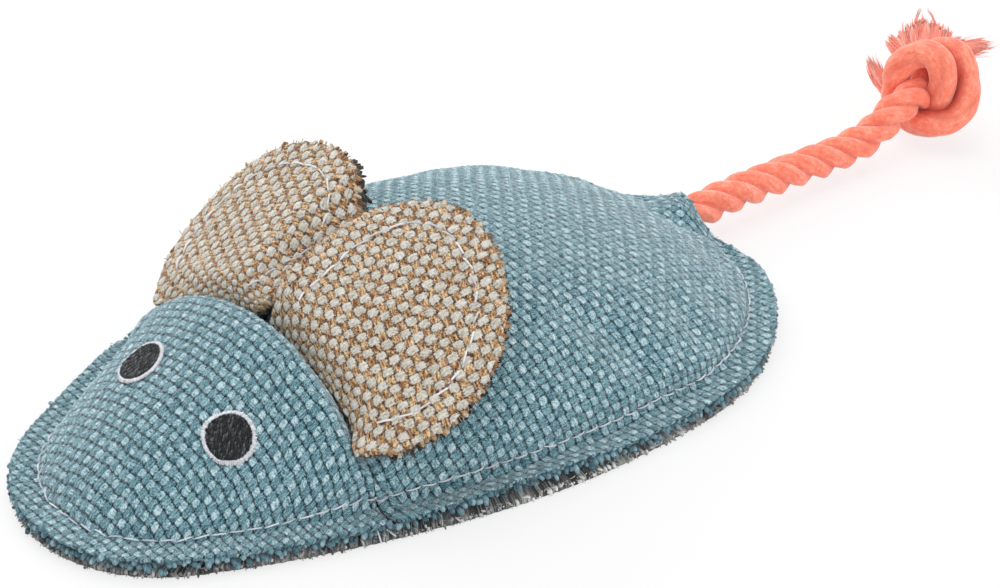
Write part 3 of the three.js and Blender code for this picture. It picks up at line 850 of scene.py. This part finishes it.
def stitchPaths(route, normals, look):  # a row of stitches along a line that lies on cloth
    reach = distanceAlong(route)
    starts = np.arange(look["pitch"] / 2, reach[-1] - look["length"], look["pitch"])
    t = np.linspace(0, 1, 8)
    slip, flatness = 0.08, 0.35  # uneven spacing, and how square a stitch lies between its holes
    places = starts[:, None] + chance.normal(0, slip, (len(starts), 1)) + t * look["length"]
    points, above = pointsAt(route, reach, places), unit(pointsAt(normals, reach, places))
    arch = look["low"] + (look["high"] - look["low"]) * np.sin(np.pi * t) ** flatness
    side = np.cross(above, unit(np.gradient(points, axis=1)))
    skew = chance.normal(0, look["skew"], (len(starts), 1)) * (t - 0.5)
    return points + above * arch[:, None] + side * skew[..., None]


# Lockstitch all round, through the top and the base
seam = {"pitch": 2.62, "length": 2.42, "low": -0.55, "high": -0.02, "skew": 0.35, "radius": 0.125,
        "tailFrom": 58, "tailHalf": 6.5}
line = outline(shape["stitchInset"])
line = np.roll(line, -np.argmax(line[:, 0] - np.abs(line[:, 1] - shape["tailY"]) * 2), 0)
height, normal = onTop(line)
paths = stitchPaths(np.c_[line, height], normal, seam)
beside = np.abs(paths[:, 0, 1] - shape["tailY"]) > seam["tailHalf"]
paths = paths[(paths[:, 0, 0] < seam["tailFrom"]) | beside]
taper = seam["radius"] * np.array([0.7, 0.9, 1, 1, 1, 1, 0.9, 0.7])
topStitch = tubes("perimeter_stitching", paths, taper, 8)
sendHome(topStitch, whiteThread, "mouse", "white_thread", "perimeter_stitch")
print("stitched", len(paths), "stitches")

# Two cut thread ends at the near end of the cross seam
looseEnds = {"starts": [(-31.2, -33.2, 2.3), (-29.9, -33.7, 2.3)],
             "falls": [(-0.1, -1.0, -1.7), (0.9, -1.1, -1.2)], "radius": 0.13}
starts, falls = (np.array(looseEnds[key])[:, None] for key in ("starts", "falls"))
paths = starts + np.linspace(0, 1, 6)[:, None] * falls
threadEnds = tubes("thread_ends", paths, looseEnds["radius"])
sendHome(threadEnds, whiteThread, "mouse", "white_thread")

# Embroidered eyes: black fill inside a white satin ring
eye = {"x": -43, "places": {"left": -13.3, "right": 8.7}, "ringIn": 3.45, "ringOut": 4.22,
       "ringStitches": 230, "ringThread": 0.1, "ringLift": 0.28, "ringArch": 0.22, "fillReach": 3.6,
       "row": 0.24, "fillThread": 0.15, "fillLift": 0.22, "layerLift": 0.22, "fillArch": 0.16, "stitch": 1.1,
       "overlap": 1.04, "shortest": 0.25, "slant": 24, "drift": 0.03, "ringUneven": 0.25, "ringSkew": 0.02,
       "rough": {"ringIn": 0.06, "ringOut": 0.07}}
stitchLine = np.linspace(0, 1, 6)  # along one stitch


def onEye(centre, flat, lift):  # flat places about an eye, laid on the head
    middle = np.array([[eye["x"], centre]])
    normal = Vector(onTop(middle)[1][0])
    first = Vector((0, 1, 0)).cross(normal).normalized()
    second = normal.cross(first)
    shapeOf = flat.shape[:-1]
    flat = flat.reshape(-1, 2)
    places = middle + flat[:, :1] * np.array(first.xy) + flat[:, 1:] * np.array(second.xy)
    height, above = onTop(places)
    return (np.c_[places, height] + above * np.ravel(lift)[:, None]).reshape(*shapeOf, 3)


def satinRing(centre):  # close stitches across the ring
    count = eye["ringStitches"]
    turn = (np.arange(count) + chance.normal(0, eye["ringUneven"], count)) * 2 * math.pi / count
    first, last = (eye[edge] + chance.normal(0, eye["rough"][edge], (count, 1))
                   for edge in ("ringIn", "ringOut"))
    reach = first + (last - first) * stitchLine
    swing = turn[:, None] + chance.normal(0, eye["ringSkew"], (count, 1)) * (stitchLine - 0.5) * 2
    flat = np.stack([reach * np.cos(swing), reach * np.sin(swing)], -1)
    lift = np.broadcast_to(eye["ringLift"] + eye["ringArch"] * np.sin(np.pi * stitchLine), reach.shape)
    return onEye(centre, flat, lift)


def filledRows(centre):  # two layers of rows, one across the other
    rows, layers = [], []
    slant = math.radians(eye["slant"])
    for layer, turned in ((0, slant + math.pi / 2), (1, slant)):
        for k, low in enumerate(np.arange(-eye["fillReach"], eye["fillReach"] + 0.01, eye["row"])):
            half = math.sqrt(max(eye["fillReach"] ** 2 - low ** 2, 0.05))
            for left in np.arange(-half - (k % 4) * eye["stitch"] / 4, half, eye["stitch"]):
                start, end = max(left, -half), min(left + eye["stitch"] * eye["overlap"], half)
                if end - start > eye["shortest"]:
                    run = np.linspace(start, end, len(stitchLine))
                    drift = low + chance.normal(0, eye["drift"])
                    rows.append(np.c_[run * math.cos(turned) - drift * math.sin(turned),
                                      run * math.sin(turned) + drift * math.cos(turned)])
                    layers.append([layer])
    lift = eye["fillLift"] + eye["layerLift"] * np.array(layers)
    lift = lift + eye["fillArch"] * np.sin(np.pi * stitchLine)
    return onEye(centre, np.array(rows), lift + chance.normal(0, eye["drift"], (len(rows), 1)))


for name, centre in eye["places"].items():
    ring = tubes(name + "_eye_satin", satinRing(centre), eye["ringThread"])
    sendHome(ring, whiteThread, "mouse", "white_thread", name + "_eye_ring")
    pupil = tubes(name + "_eye_fill", filledRows(centre), eye["fillThread"])
    sendHome(pupil, blackThread, "mouse", "black_thread", name + "_eye_pupil")
print("eyes embroidered")

# Ears: two cut layers sewn together, their base held in the cross seam
ear = {"length": 34, "tip": {-1: 34, 1: 32.4}, "halfIn": 16.9, "halfOut": {-1: 19.6, 1: 18.2},
       "baseIn": {-1: 16.6, 1: 16.4}, "baseOut": {-1: 12.2, 1: 10.8}, "widestAt": 14,
       "tipAside": {-1: -5, 1: -1.5}, "root": -3, "joinAt": 8, "baseTilt": 27, "tipTilt": 10,
       "lean": {-1: 25.5, 1: 31.4}, "spread": {-1: 6, 1: 4}, "turned": {-1: 0, 1: 10.7},
       "shift": {-1: (0, 0, 0), 1: (-0.2, -0.7, -1)}, "dip": {-1: 0, 1: 5}, "dipW": (-9, -18),
       "dipD": (30, 20), "under": 2.9, "underY": (6, -0.5), "underD": (0, 3), "camber": 2.5, "camberHalf": 18,
       "hingeOut": 2.5, "rootShare": 0.65, "rootFade": (-1, 5), "rootBack": 0.9, "sunk": 1.2, "held": (13, 6),
       "clear": 0.5, "clearFrom": 1, "threads": 54, "turn": {-1: 15, 1: 28}, "pitch": (1.58, 1.4),
       "front": 2.3, "back": 0.25, "layer": 0.85, "thick": 0.17, "warpRise": 0.3, "weftRise": 0.17,
       "wander": 0.06, "yarnFrom": 0.5, "yarnIn": 0.45}  # -1 is the left ear, 1 the right one
earStitch = {"inset": 4.5, "from": 1.5, "pitch": 3.2, "length": 2.8, "low": -0.25, "high": 0.32, "skew": 0.35,
             "radius": 0.15}


def earEdge(side, d):  # inner and outer edge at a height up the ear
    below = 1 - np.clip((d - ear["root"]) / (ear["widestAt"] - ear["root"]), 0, 1)
    over = np.clip((d - ear["widestAt"]) / (ear["tip"][side] - ear["widestAt"]), 0, 1)
    inner = ear["halfIn"] - (ear["halfIn"] - ear["baseIn"][side]) * below ** 2
    outer = ear["halfOut"][side] - (ear["halfOut"][side] - ear["baseOut"][side]) * below ** 2.2
    middle = ear["tipAside"][side] * (np.clip(d, 0, ear["length"]) / ear["length"]) ** 2
    return middle - inner * np.sqrt(1 - over ** 2), middle + outer * np.sqrt(1 - over ** 2)


def earLine(side, inset, step=0.2):  # up the inner edge, over the tip, down the outer edge
    turn = np.linspace(0, np.pi / 2, 200)
    d = np.r_[np.linspace(ear["root"], ear["widestAt"], 100)[:-1],
              ear["widestAt"] + (ear["tip"][side] - ear["widestAt"]) * np.sin(turn)]
    inner, outer = earEdge(side, d)
    line = np.r_[np.c_[d, inner], np.c_[d, outer][::-1][1:]]
    ahead = unit(np.gradient(line, axis=0))
    return resample(line + np.c_[-ahead[:, 1], ahead[:, 0]] * inset, step)


def earFrame(side):  # middle of the base, up along the ear and out of its face
    body = "left_ear" if side < 0 else "right_ear"
    hinge = next(np.array(joint["pos_m"]) / mm for joint in frame["joints"] if joint["child"] == body)
    lean, opening = math.radians(ear["lean"][side]), math.radians(ear["spread"][side])
    tilt = math.radians(ear["baseTilt"])
    level = math.cos(lean)
    up = np.array([level * math.cos(opening), side * level * math.sin(opening), math.sin(lean)])
    across = np.array([0, side * math.cos(tilt), -math.sin(tilt)])
    front = unit(np.cross(up, across) * side)
    return hinge + ear["shift"][side] - front * ear["hingeOut"], up, front


def earTilt(rise):
    share = np.clip(rise / ear["length"], 0, 1)
    return np.radians(ear["baseTilt"] + (ear["tipTilt"] - ear["baseTilt"]) * share)


def earBow(rise, w):
    return ear["camber"] * (w / ear["camberHalf"]) ** 2 * np.maximum(rise, 0) / ear["length"]


def earFree(side, d, w):  # the free part of an ear, leaning back
    base, up, front = earFrame(side)
    turned = math.radians(ear["turned"][side])
    rise = d * math.cos(turned) + w * math.sin(turned)
    w = w * math.cos(turned) - d * math.sin(turned)
    tilt = earTilt(rise)
    sideways = np.stack([np.zeros_like(tilt), side * np.cos(tilt), -np.sin(tilt)], -1)
    points = base + sideways * w[..., None] + up * rise[..., None] - front * earBow(rise, w)[..., None]
    points[..., 2] -= ear["dip"][side] * smooth(*ear["dipW"], w) * smooth(*ear["dipD"], d)
    return points


def underLeftEar(x, y):  # height of the left ear over a place, for the right one to pass below it
    base, up, front = earFrame(-1)
    rise = (x - base[0]) / up[0]
    w = (base[1] + up[1] * rise - y) / np.cos(earTilt(rise))
    return base[2] - np.sin(earTilt(rise)) * w + up[2] * rise - front[2] * earBow(rise, w)


def bent(first, middle, last, t):  # a curve between two places, drawn towards a third
    return (1 - t) ** 2 * first + 2 * t * (1 - t) * middle + t ** 2 * last


def earPlace(side, flat, offset):  # flat is up the ear and outward, offset from the back face to the front
    d, w = flat[..., 0], flat[..., 1]
    loose, bend, join = (earFree(side, np.full_like(d, rise), w)
                         for rise in (ear["root"], (ear["root"] + ear["joinAt"]) / 2, ear["joinAt"]))
    y = loose[..., 1]
    x = crossSeam(y)
    root = np.stack([x + ear["rootBack"], y, topHeight(x, y) - ear["sunk"]], -1)
    root = loose + (root - loose) * smooth(*ear["held"], w)[..., None]
    bend[..., 0] = np.maximum(bend[..., 0], crossSeam(bend[..., 1]) + ear["rootBack"])
    t = np.clip((d - ear["root"]) / (ear["joinAt"] - ear["root"]), 0, 1)[..., None]
    points = np.where(t < 1, bent(root, bend, join, t), earFree(side, d, w))
    if side > 0:
        over = points[..., 2] - underLeftEar(points[..., 0], points[..., 1]) + ear["under"]
        over = smooth(*ear["underY"], points[..., 1]) * np.maximum(over, 0)
        points[..., 2] -= over * smooth(*ear["underD"], d)
    skin = topHeight(points[..., 0], points[..., 1]) + ear["clear"]
    points[..., 2] = np.where(d > ear["clearFrom"], np.maximum(points[..., 2], skin), points[..., 2])
    offset = offset * (ear["rootShare"] + (1 - ear["rootShare"]) * smooth(*ear["rootFade"], d))
    return points + earFrame(side)[2] * offset[..., None]


def earLayer(name, side, offset, facing):
    piece = clothGrid(name, ear["threads"])
    spin = spinOf(ear["turn"][side])
    centre = np.array([ear["widestAt"], 0])

    def lay(threads):
        return (threads * ear["pitch"]) @ spin + centre

    middle = faceMiddles(piece, lay(readPoints(piece)[:, :2]))
    inner, outer = earEdge(side, middle[:, 0])
    inside = (middle[:, 1] > inner) & (middle[:, 1] < outer)
    keepFaces(piece, inside & (middle[:, 0] > ear["root"]) & (middle[:, 0] < ear["tip"][side]))
    flat = lay(readPoints(piece)[:, :2])
    cut = earLine(side, 0)
    cut = np.r_[cut, np.linspace(cut[0], cut[-1], 150)]
    for k in np.flatnonzero(edgesOf(piece)[1]):
        flat[k] = nearest(cut, flat[k])
    writeWeave(piece, ((flat - centre) @ spin.T) / ear["pitch"])
    writePoints(piece, earPlace(side, flat, offset))
    if (normalsOf(piece).mean(0) @ earFrame(side)[2]) * facing < 0:
        makeActive(piece)
        bpy.ops.object.mode_set(mode="EDIT")
        bpy.ops.mesh.select_all(action="SELECT")
        bpy.ops.mesh.flip_normals()
        bpy.ops.object.mode_set(mode="OBJECT")
    refine(piece, 2)
    raiseWeave(piece, ear)
    applyModifier(piece, "SOLIDIFY", thickness=ear["layer"] * mm, offset=-1)
    bpy.ops.object.shade_smooth()
    return piece


def earFringe(name, side, offset, yarn):
    line = resample(earLine(side, 0), yarn["step"])
    line = line[line[:, 0] > ear["yarnFrom"]]
    line, ahead, thin = yarnEnds(line, unit(np.gradient(line, axis=0)), yarn)
    outward, count = np.c_[ahead[:, 1], -ahead[:, 0]], len(line)
    if (outward * (line - [ear["widestAt"], 0])).sum() < 0:
        outward = -outward
    aside = chance.normal(0, yarn["splay"], (count, 1)) * np.where(thin, cutYarn["wild"], 1)[:, None]
    length = chance.uniform(*yarn["length"], (count, 1))
    t = np.linspace(0, 1, 4)
    start = line - outward * yarn["root"]
    flat = start[:, None] + unit(outward + ahead * aside)[:, None] * (length * t)[..., None]
    level = offset + chance.normal(0, yarn["scatter"], (count, 1))
    level = level + chance.normal(0, cutYarn["rise"], (count, 1)) * t ** 2
    return tubes(name, earPlace(side, flat, level), yarnRadii(yarn, thin), 5)


def holdEar(piece, side):  # bakes the piece's placement into its mesh
    base, up, _ = earFrame(side)
    (base - up * 2) * mm
    (base + up * 4) * mm
    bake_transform(piece)


frontEnds = {"step": 0.8, "splay": 0.35, "length": (0.8, 1.6), "root": 0.7, "scatter": 0.2,
             "radius": (0.26, 0.46), "fibres": 3, "fibre": 0.06}
backEnds = {"step": 0.9, "splay": 0.4, "length": (0.7, 1.6), "root": 0.6, "scatter": 0.15,
            "radius": (0.22, 0.4), "fibres": 2, "fibre": 0.06}
charcoalYarn = threadFinish("charcoalYarn", [(26, 25, 25), (66, 63, 60), (130, 126, 118)], 0.94)
for side, name in ((-1, "left_ear"), (1, "right_ear")):
    front = earLayer(name + "_front_cloth", side, ear["front"], 1)
    back = earLayer(name + "_back_cloth", side, ear["back"], -1)
    frontYarn = earFringe(name + "_front_yarn", side, ear["front"] - ear["yarnIn"], frontEnds)
    backYarn = earFringe(name + "_back_yarn", side, ear["back"] + ear["yarnIn"], backEnds)
    earArea = areaOf(earLine(side, 0)) * mm * mm
    earFlat = (np.ptp(earLine(side, 0)[:, 1]) * mm, (ear["tip"][side] - ear["root"]) * mm)
    line = earLine(side, earStitch["inset"])
    line = line[line[:, 0] > earStitch["from"]]
    rows = []
    for offset, away in ((ear["front"], 1), (ear["back"], -1)):
        route = earPlace(side, line, offset)
        rows.append(stitchPaths(route, np.tile(earFrame(side)[2] * away, (len(route), 1)), earStitch))
    stitch = tubes(name + "_stitching", np.concatenate(rows), earStitch["radius"], 8)
    for piece, material, slot, nodes in (
            (front, beigeCloth, "beige_cloth", [name + "_front"]),
            (back, charcoalCloth, "charcoal_cloth", [name + "_back"]),
            (frontYarn, beigeYarn, "beige_cloth", []), (backYarn, charcoalYarn, "charcoal_cloth", []),
            (stitch, whiteThread, "white_thread", [name + "_stitch"])):
        sendHome(piece, material, None, slot, *nodes)
        holdEar(piece, side)
print("ears sewn in")

# Rope tail: three strands laid up, an overhand knot and a frayed end
tail = {"lay": 16.5, "radius": 3.25, "strand": 1.8, "sides": 48, "step": 0.4, "split": 77,
        "exit": (70, -1.5, 4.9),
        "route": [(59, -1.5, 4.5), (65, -1.5, 5.1), (70, -1.5, 5.4), (78, -1.5, 5.2), (86, -1.6, 4.9),
                  (95, -2.1, 4.6), (103, -2.7, 4.5), (109, -3.2, 5.4), (114.8, -3.5, 8.1), (119.3, -3.5, 9.7),
                  (122.4, -3.5, 9.6)],
        "knot": (124.5, -3.5, 10)}
laid = {"wave": (0.03, 1.3), "swell": (0.02, 0.7), "apart": 3, "deep": (1.9, 1.0)}
tied = {"lay": 34, "radius": 2.7, "strand": 2.05, "sides": 36, "size": 0.94}
knotTurns = [  # right, up and towards the camera
    (-1.6, -1.1, 1.0), (0.0, -2.4, -0.6), (0.9, -2.9, -3.4), (2.4, -1.2, -5.2), (3.2, 2.2, -5.4),
    (2.6, 5.6, -4.6), (2.4, 7.4, -2.2), (4.2, 7.3, 0.4), (6.1, 5.2, 2.0), (7.0, 2.2, 2.6),
    (7.0, -1.2, 2.8), (6.0, -4.2, 2.8), (3.8, -6.3, 2.4), (0.8, -7.0, 1.6), (-2.2, -6.4, -0.4),
    (-4.4, -4.6, -3.0), (-5.8, -2.2, -3.6), (-6.4, 0.6, -2.2), (-6.0, 3.2, 0.4), (-4.6, 5.4, 2.6),
    (-2.2, 6.5, 4.0), (0.2, 5.9, 4.9), (1.7, 3.8, 5.3), (2.2, 1.2, 4.9), (2.0, -1.2, 3.4),
    (1.6, -2.6, 0.8), (1.2, -2.2, -2.4), (0.4, 0.6, -4.8), (-0.4, 4.0, -5.4), (-0.4, 7.0, -5.2)]


def curveThrough(points, step):  # a smooth line through a few places
    points = np.asarray(points, float)
    padded = np.r_[2 * points[:1] - points[1:2], points, 2 * points[-1:] - points[-2:-1]]
    t = np.linspace(0, 1, 40, endpoint=False)[:, None]
    line = []
    for a, b, c, d in zip(padded[:-3], padded[1:-2], padded[2:-1], padded[3:]):
        square, cube = 2 * a - 5 * b + 4 * c - d, 3 * b - a - 3 * c + d
        line.append(0.5 * (2 * b + (c - a) * t + square * t ** 2 + cube * t ** 3))
    return resample(np.r_[np.concatenate(line), points[-1:]], step)


def carried(line):  # two directions across a line, carried along it without twisting
    tangent = unit(np.gradient(line, axis=0))
    first = unit(np.cross(tangent[0], [0.0, 0.0, 1.0]))
    firsts = []
    for direction in tangent:
        first = unit(first - direction * (first @ direction))
        firsts.append(first)
    return np.array(firsts), np.cross(tangent, firsts)


def ropeTube(name, line, across, along, rope):  # one skin round three strands
    count, sides, strand = len(line), rope["sides"], rope["strand"]
    turn = np.arange(sides) * 2 * math.pi / sides
    phase = (turn * 3 / (2 * math.pi)) % 1 - 0.5  # across one strand, -0.5 to 0.5
    centre = rope["radius"] - strand
    aside = phase * 2 * math.pi / 3
    skin = centre * np.cos(aside) + np.sqrt(np.maximum(strand ** 2 - (centre * np.sin(aside)) ** 2, 0.05))
    angle = turn[None, :] + (along * 2 * math.pi / rope["lay"])[:, None]
    wave, swell = ((size * np.sin(along * rate))[:, None] for size, rate in (laid["wave"], laid["swell"]))
    plump = 1 + wave * np.cos(3 * turn) + swell
    reach = (skin * plump)[..., None]
    ring = across[0][:, None] * np.cos(angle)[..., None] + across[1][:, None] * np.sin(angle)[..., None]
    points = line[:, None] + ring * reach
    index = np.arange(count * sides).reshape(count, sides)
    beside = np.roll(index, -1, 1)
    walls = np.stack([index[:-1], beside[:-1], beside[1:], index[1:]], -1).reshape(-1, 4)
    marks = np.zeros((count, sides, 3), np.float32)
    marks[..., 0] = along[:, None]
    marks[..., 1] = phase
    marks[..., 2] = np.floor(turn * 3 / (2 * math.pi))
    piece = threadMesh(name, points, walls, np.stack([index[0, ::-1], index[-1]]), marks, False)
    deep = np.zeros((count, sides), np.float32)  # painted shade: 1 where another turn of the rope lies close, down between two turns of a knot
    for k in range(count):
        others = line[np.abs(along - along[k]) > laid["apart"] * rope["radius"]][::2]
        away = np.linalg.norm(points[k][:, None] - others[None], axis=2).min(1) if len(others) else 99.0
        deep[k] = smooth(*np.multiply(laid["deep"], rope["radius"]), away)
    piece.data.attributes.new("deep", "FLOAT", "POINT").data.foreach_set("value", deep.ravel())
    return piece


def ropeFinish(name, look):  # soft laid cotton
    material, start = startMaterial(name)
    place = start.node("ShaderNodeTexCoord", {}, {}, 3)
    thread = start.node("ShaderNodeAttribute", {"attribute_name": "thread"}, {}, 1)
    along, aside, strand = splitAxes(thread)
    yarns = ((aside * look["yarns"] + along * look["twist"] + strand * 0.37) * (2 * math.pi)).sum("SINE")
    fibre = grain(joinAxes(along * 1.1, aside * 9 + along * look["twist"] * 4, strand * 5), 1.0, 3.0, 0.7)
    bloom = grain(place, 380.0, 4.0, 0.7)
    lint = spread(grain(place, 2600.0, 2.0, 0.6), 0.55, 0.75)
    # painted shade: darker towards the grooves between the strands
    low = spread(abs(aside), look["grooveFrom"], 0.5)
    deep = start.node("ShaderNodeAttribute", {"attribute_name": "deep"}, {}, 2)
    shade = 0.5 + (fibre - 0.5) * 1.1 + yarns * 0.04 + (bloom - 0.5) * 1.2
    colour = mixColour(low * look["groove"], ramp(shade, look["tones"]), linear(*look["grooveShadeTone"]))
    colour = mixColour(lint * look["lint"], colour, linear(*look["lintTone"]))
    # painted shade where turns of the knot lie close together
    colour = mixColour(deep * look["deep"], colour, linear(*look["recessShadeTone"]))
    finishSurface(start, colour, 0.9, yarns * 0.12 + fibre * 0.7 + bloom * 0.6, 0.5, 0.3, look["sheen"])
    return material


coralRope = ropeFinish("coralRope", {
    "yarns": 5, "twist": 0.16, "grooveFrom": 0.3, "groove": 0.45, "grooveShadeTone": (226, 104, 84), "lint": 0.3,
    "lintTone": (255, 214, 200), "deep": 0.85, "recessShadeTone": (200, 76, 58),
    "tones": [(236, 104, 80), (252, 138, 112), (255, 184, 164)], "sheen": (0.7, 0.4, (1, 0.88, 0.85, 1))})
coralYarn = threadFinish("coralYarn", [(252, 148, 128), (255, 176, 158), (255, 216, 205)], 0.9, 0.5,
                         (1.0, 0.4, (1, 0.88, 0.85, 1)))
line = curveThrough(tail["route"], tail["step"])
across, along = carried(line), distanceAlong(line)
cutAt = int(np.argmin(np.abs(line[:, 0] - tail["split"])))
near, far = slice(None, cutAt + 1), slice(cutAt, None)
neck = ropeTube("tail_neck", line[near], [rows[near] for rows in across], along[near], tail)
tailRope = ropeTube("tail_rope_laid", line[far], [rows[far] for rows in across], along[far], tail)
sendHome(neck, coralRope, None, "coral_rope", "tail_sewn_end")
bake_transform(neck)
sendHome(tailRope, coralRope, None, "coral_rope", "tail_root", "tail_rope")
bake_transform(tailRope)

axes = np.array([rightward, upward, towards])
knotLine = curveThrough(tied["size"] * np.array(knotTurns) @ axes + tail["knot"], tail["step"])
alongKnot = distanceAlong(knotLine)
knot = ropeTube("tail_knot_tied", knotLine, carried(knotLine), alongKnot, tied)
sendHome(knot, coralRope, "tail", "coral_rope", "tail_knot")

# Frayed end: soft locks of yarn that come out behind the knot
fray = {"kinds": [(12, 0.75, 0.8, 0.15), (60, 0.24, 1.0, 0), (40, 0.05, 1.35, 0)],
        "wisps": [(4, 0.11, 1.0, 0), (6, 0.04, 1.5, 0)], "wispy": 0.2, "root": 0.8, "bend": 0.5,
        "reach": (-0.3, 0.12), "taper": (1.1, 1.07, 2.2)}  # kinds: how many, how thick, how wild, how short
locks = [((-3.6, 6.4, -4), (-5.2, 8.6, -4.4), (-6.3, 9.6, -4.5), 0.4),
         ((-2.8, 7, -4), (-3.6, 9.4, -4.6), (-4.0, 10.7, -4.8), 0.55),
         ((-1.8, 7.6, -4), (-2.2, 10.4, -4.8), (-2.2, 12.4, -5), 0.55),
         ((-0.8, 7.6, -4), (-0.8, 10.8, -5), (-0.6, 12.9, -5), 0.55),
         ((0.5, 7.6, -4), (0.7, 10.8, -5), (0.9, 12.6, -5), 0.55),
         ((1.8, 7.6, -4), (2.3, 10.4, -5), (2.8, 12.0, -5), 0.55),
         ((3.0, 7.2, -4), (3.7, 9.6, -4.8), (4.3, 11.0, -4.8), 0.5),
         ((3.8, 7, -4), (5.2, 8.6, -4.6), (6.6, 9.2, -4.6), 0.5),
         ((4.5, 6.6, -4), (8.0, 8.2, -4), (11.4, 8.3, -3.6), 0.75),
         ((-6.2, -1, -3), (-8.8, 1.8, -3.4), (-10.1, 5.6, -3.4), 0.5),
         ((-1.5, 12.2, -5), (-1.4, 14.2, -5), (-0.3, 15.4, -5), 0.12),
         ((2.2, 11.8, -5), (1.8, 13.8, -5), (0.4, 15.3, -5), 0.12)]  # root, bend, tip and looseness
paths, radii = [], []
full, lost, late = fray["taper"]
t = np.linspace(0, 1, 9)[:, None]
for *ends, loose in locks:
    low, middle, high = np.array(ends)
    for number, thick, wild, short in fray["wisps" if loose < fray["wispy"] else "kinds"]:
        for _ in range(number):
            aside = chance.normal(0, 1, 3) * loose
            bend = chance.normal(0, fray["bend"], 3) * loose * wild
            tip = high + aside * wild + (high - middle) * (chance.uniform(*fray["reach"]) - short)
            path = bent(low + aside * fray["root"], middle + aside + bend, tip, t)
            paths.append(path @ axes + tail["knot"])
            radii.append(thick * (full - lost * t[:, 0] ** late))
tuft = tubes("tail_tuft", paths, np.array(radii), 5)
sendHome(tuft, coralYarn, "tail", "coral_rope", "tail_fray")
line[far] * mm

# Studio: a pale floor that keeps the shadow, white behind, and soft light all round
studio = {"world": 0.78, "floorShare": 0.72, "floorTone": (0.86, 0.86, 0.86, 1),
          "lights": [(2.4, 0.7, (0.06, 0.2, 0.86)), (3.3, 0.6, (0.14, 0.72, 0.32)),
                     (1.5, 0.6, (0.08, -0.75, 0.26))]}


def seenRays(start):  # 1 for what the camera sees, straight or in a shine or through something
    ray = start.node("ShaderNodeLightPath")
    return ray.sum("MAXIMUM", ray.other(3)).sum("MAXIMUM", ray.other(6))
deselectAll()
bpy.ops.mesh.primitive_plane_add(size=6)
floor = bpy.context.object
floor.name = "floor"
floorFinish, start = startMaterial("paleFloor")
matt = start.node("ShaderNodeBsdfDiffuse", {}, {"Color": studio["floorTone"]})
glow = start.node("ShaderNodeEmission", {}, {"Color": white, "Strength": 1.0})
both = start.node("ShaderNodeMixShader", {}, {0: seenRays(start) * studio["floorShare"], 1: matt, 2: glow})
start.node("ShaderNodeOutputMaterial", {}, {0: both})
floor.data.materials.append(floorFinish)
world = bpy.data.worlds.new("studio")
bpy.context.scene.world = world
world.use_nodes = True
world.node_tree.nodes.clear()
start = Flow(world.node_tree)
strength = studio["world"] + seenRays(start) * (1 - studio["world"])
sky = start.node("ShaderNodeBackground", {}, {"Color": white, "Strength": strength})
start.node("ShaderNodeOutputWorld", {}, {0: sky})
for power, size, place in studio["lights"]:  # overhead, from behind and along the flank
    deselectAll()
    bpy.ops.object.light_add(type="AREA", location=place)
    lamp = bpy.context.object
    lamp.data.energy, lamp.data.size = power, size
    lamp.rotation_euler = (-Vector(place)).to_track_quat("-Z", "Y").to_euler()
print("studio ready")
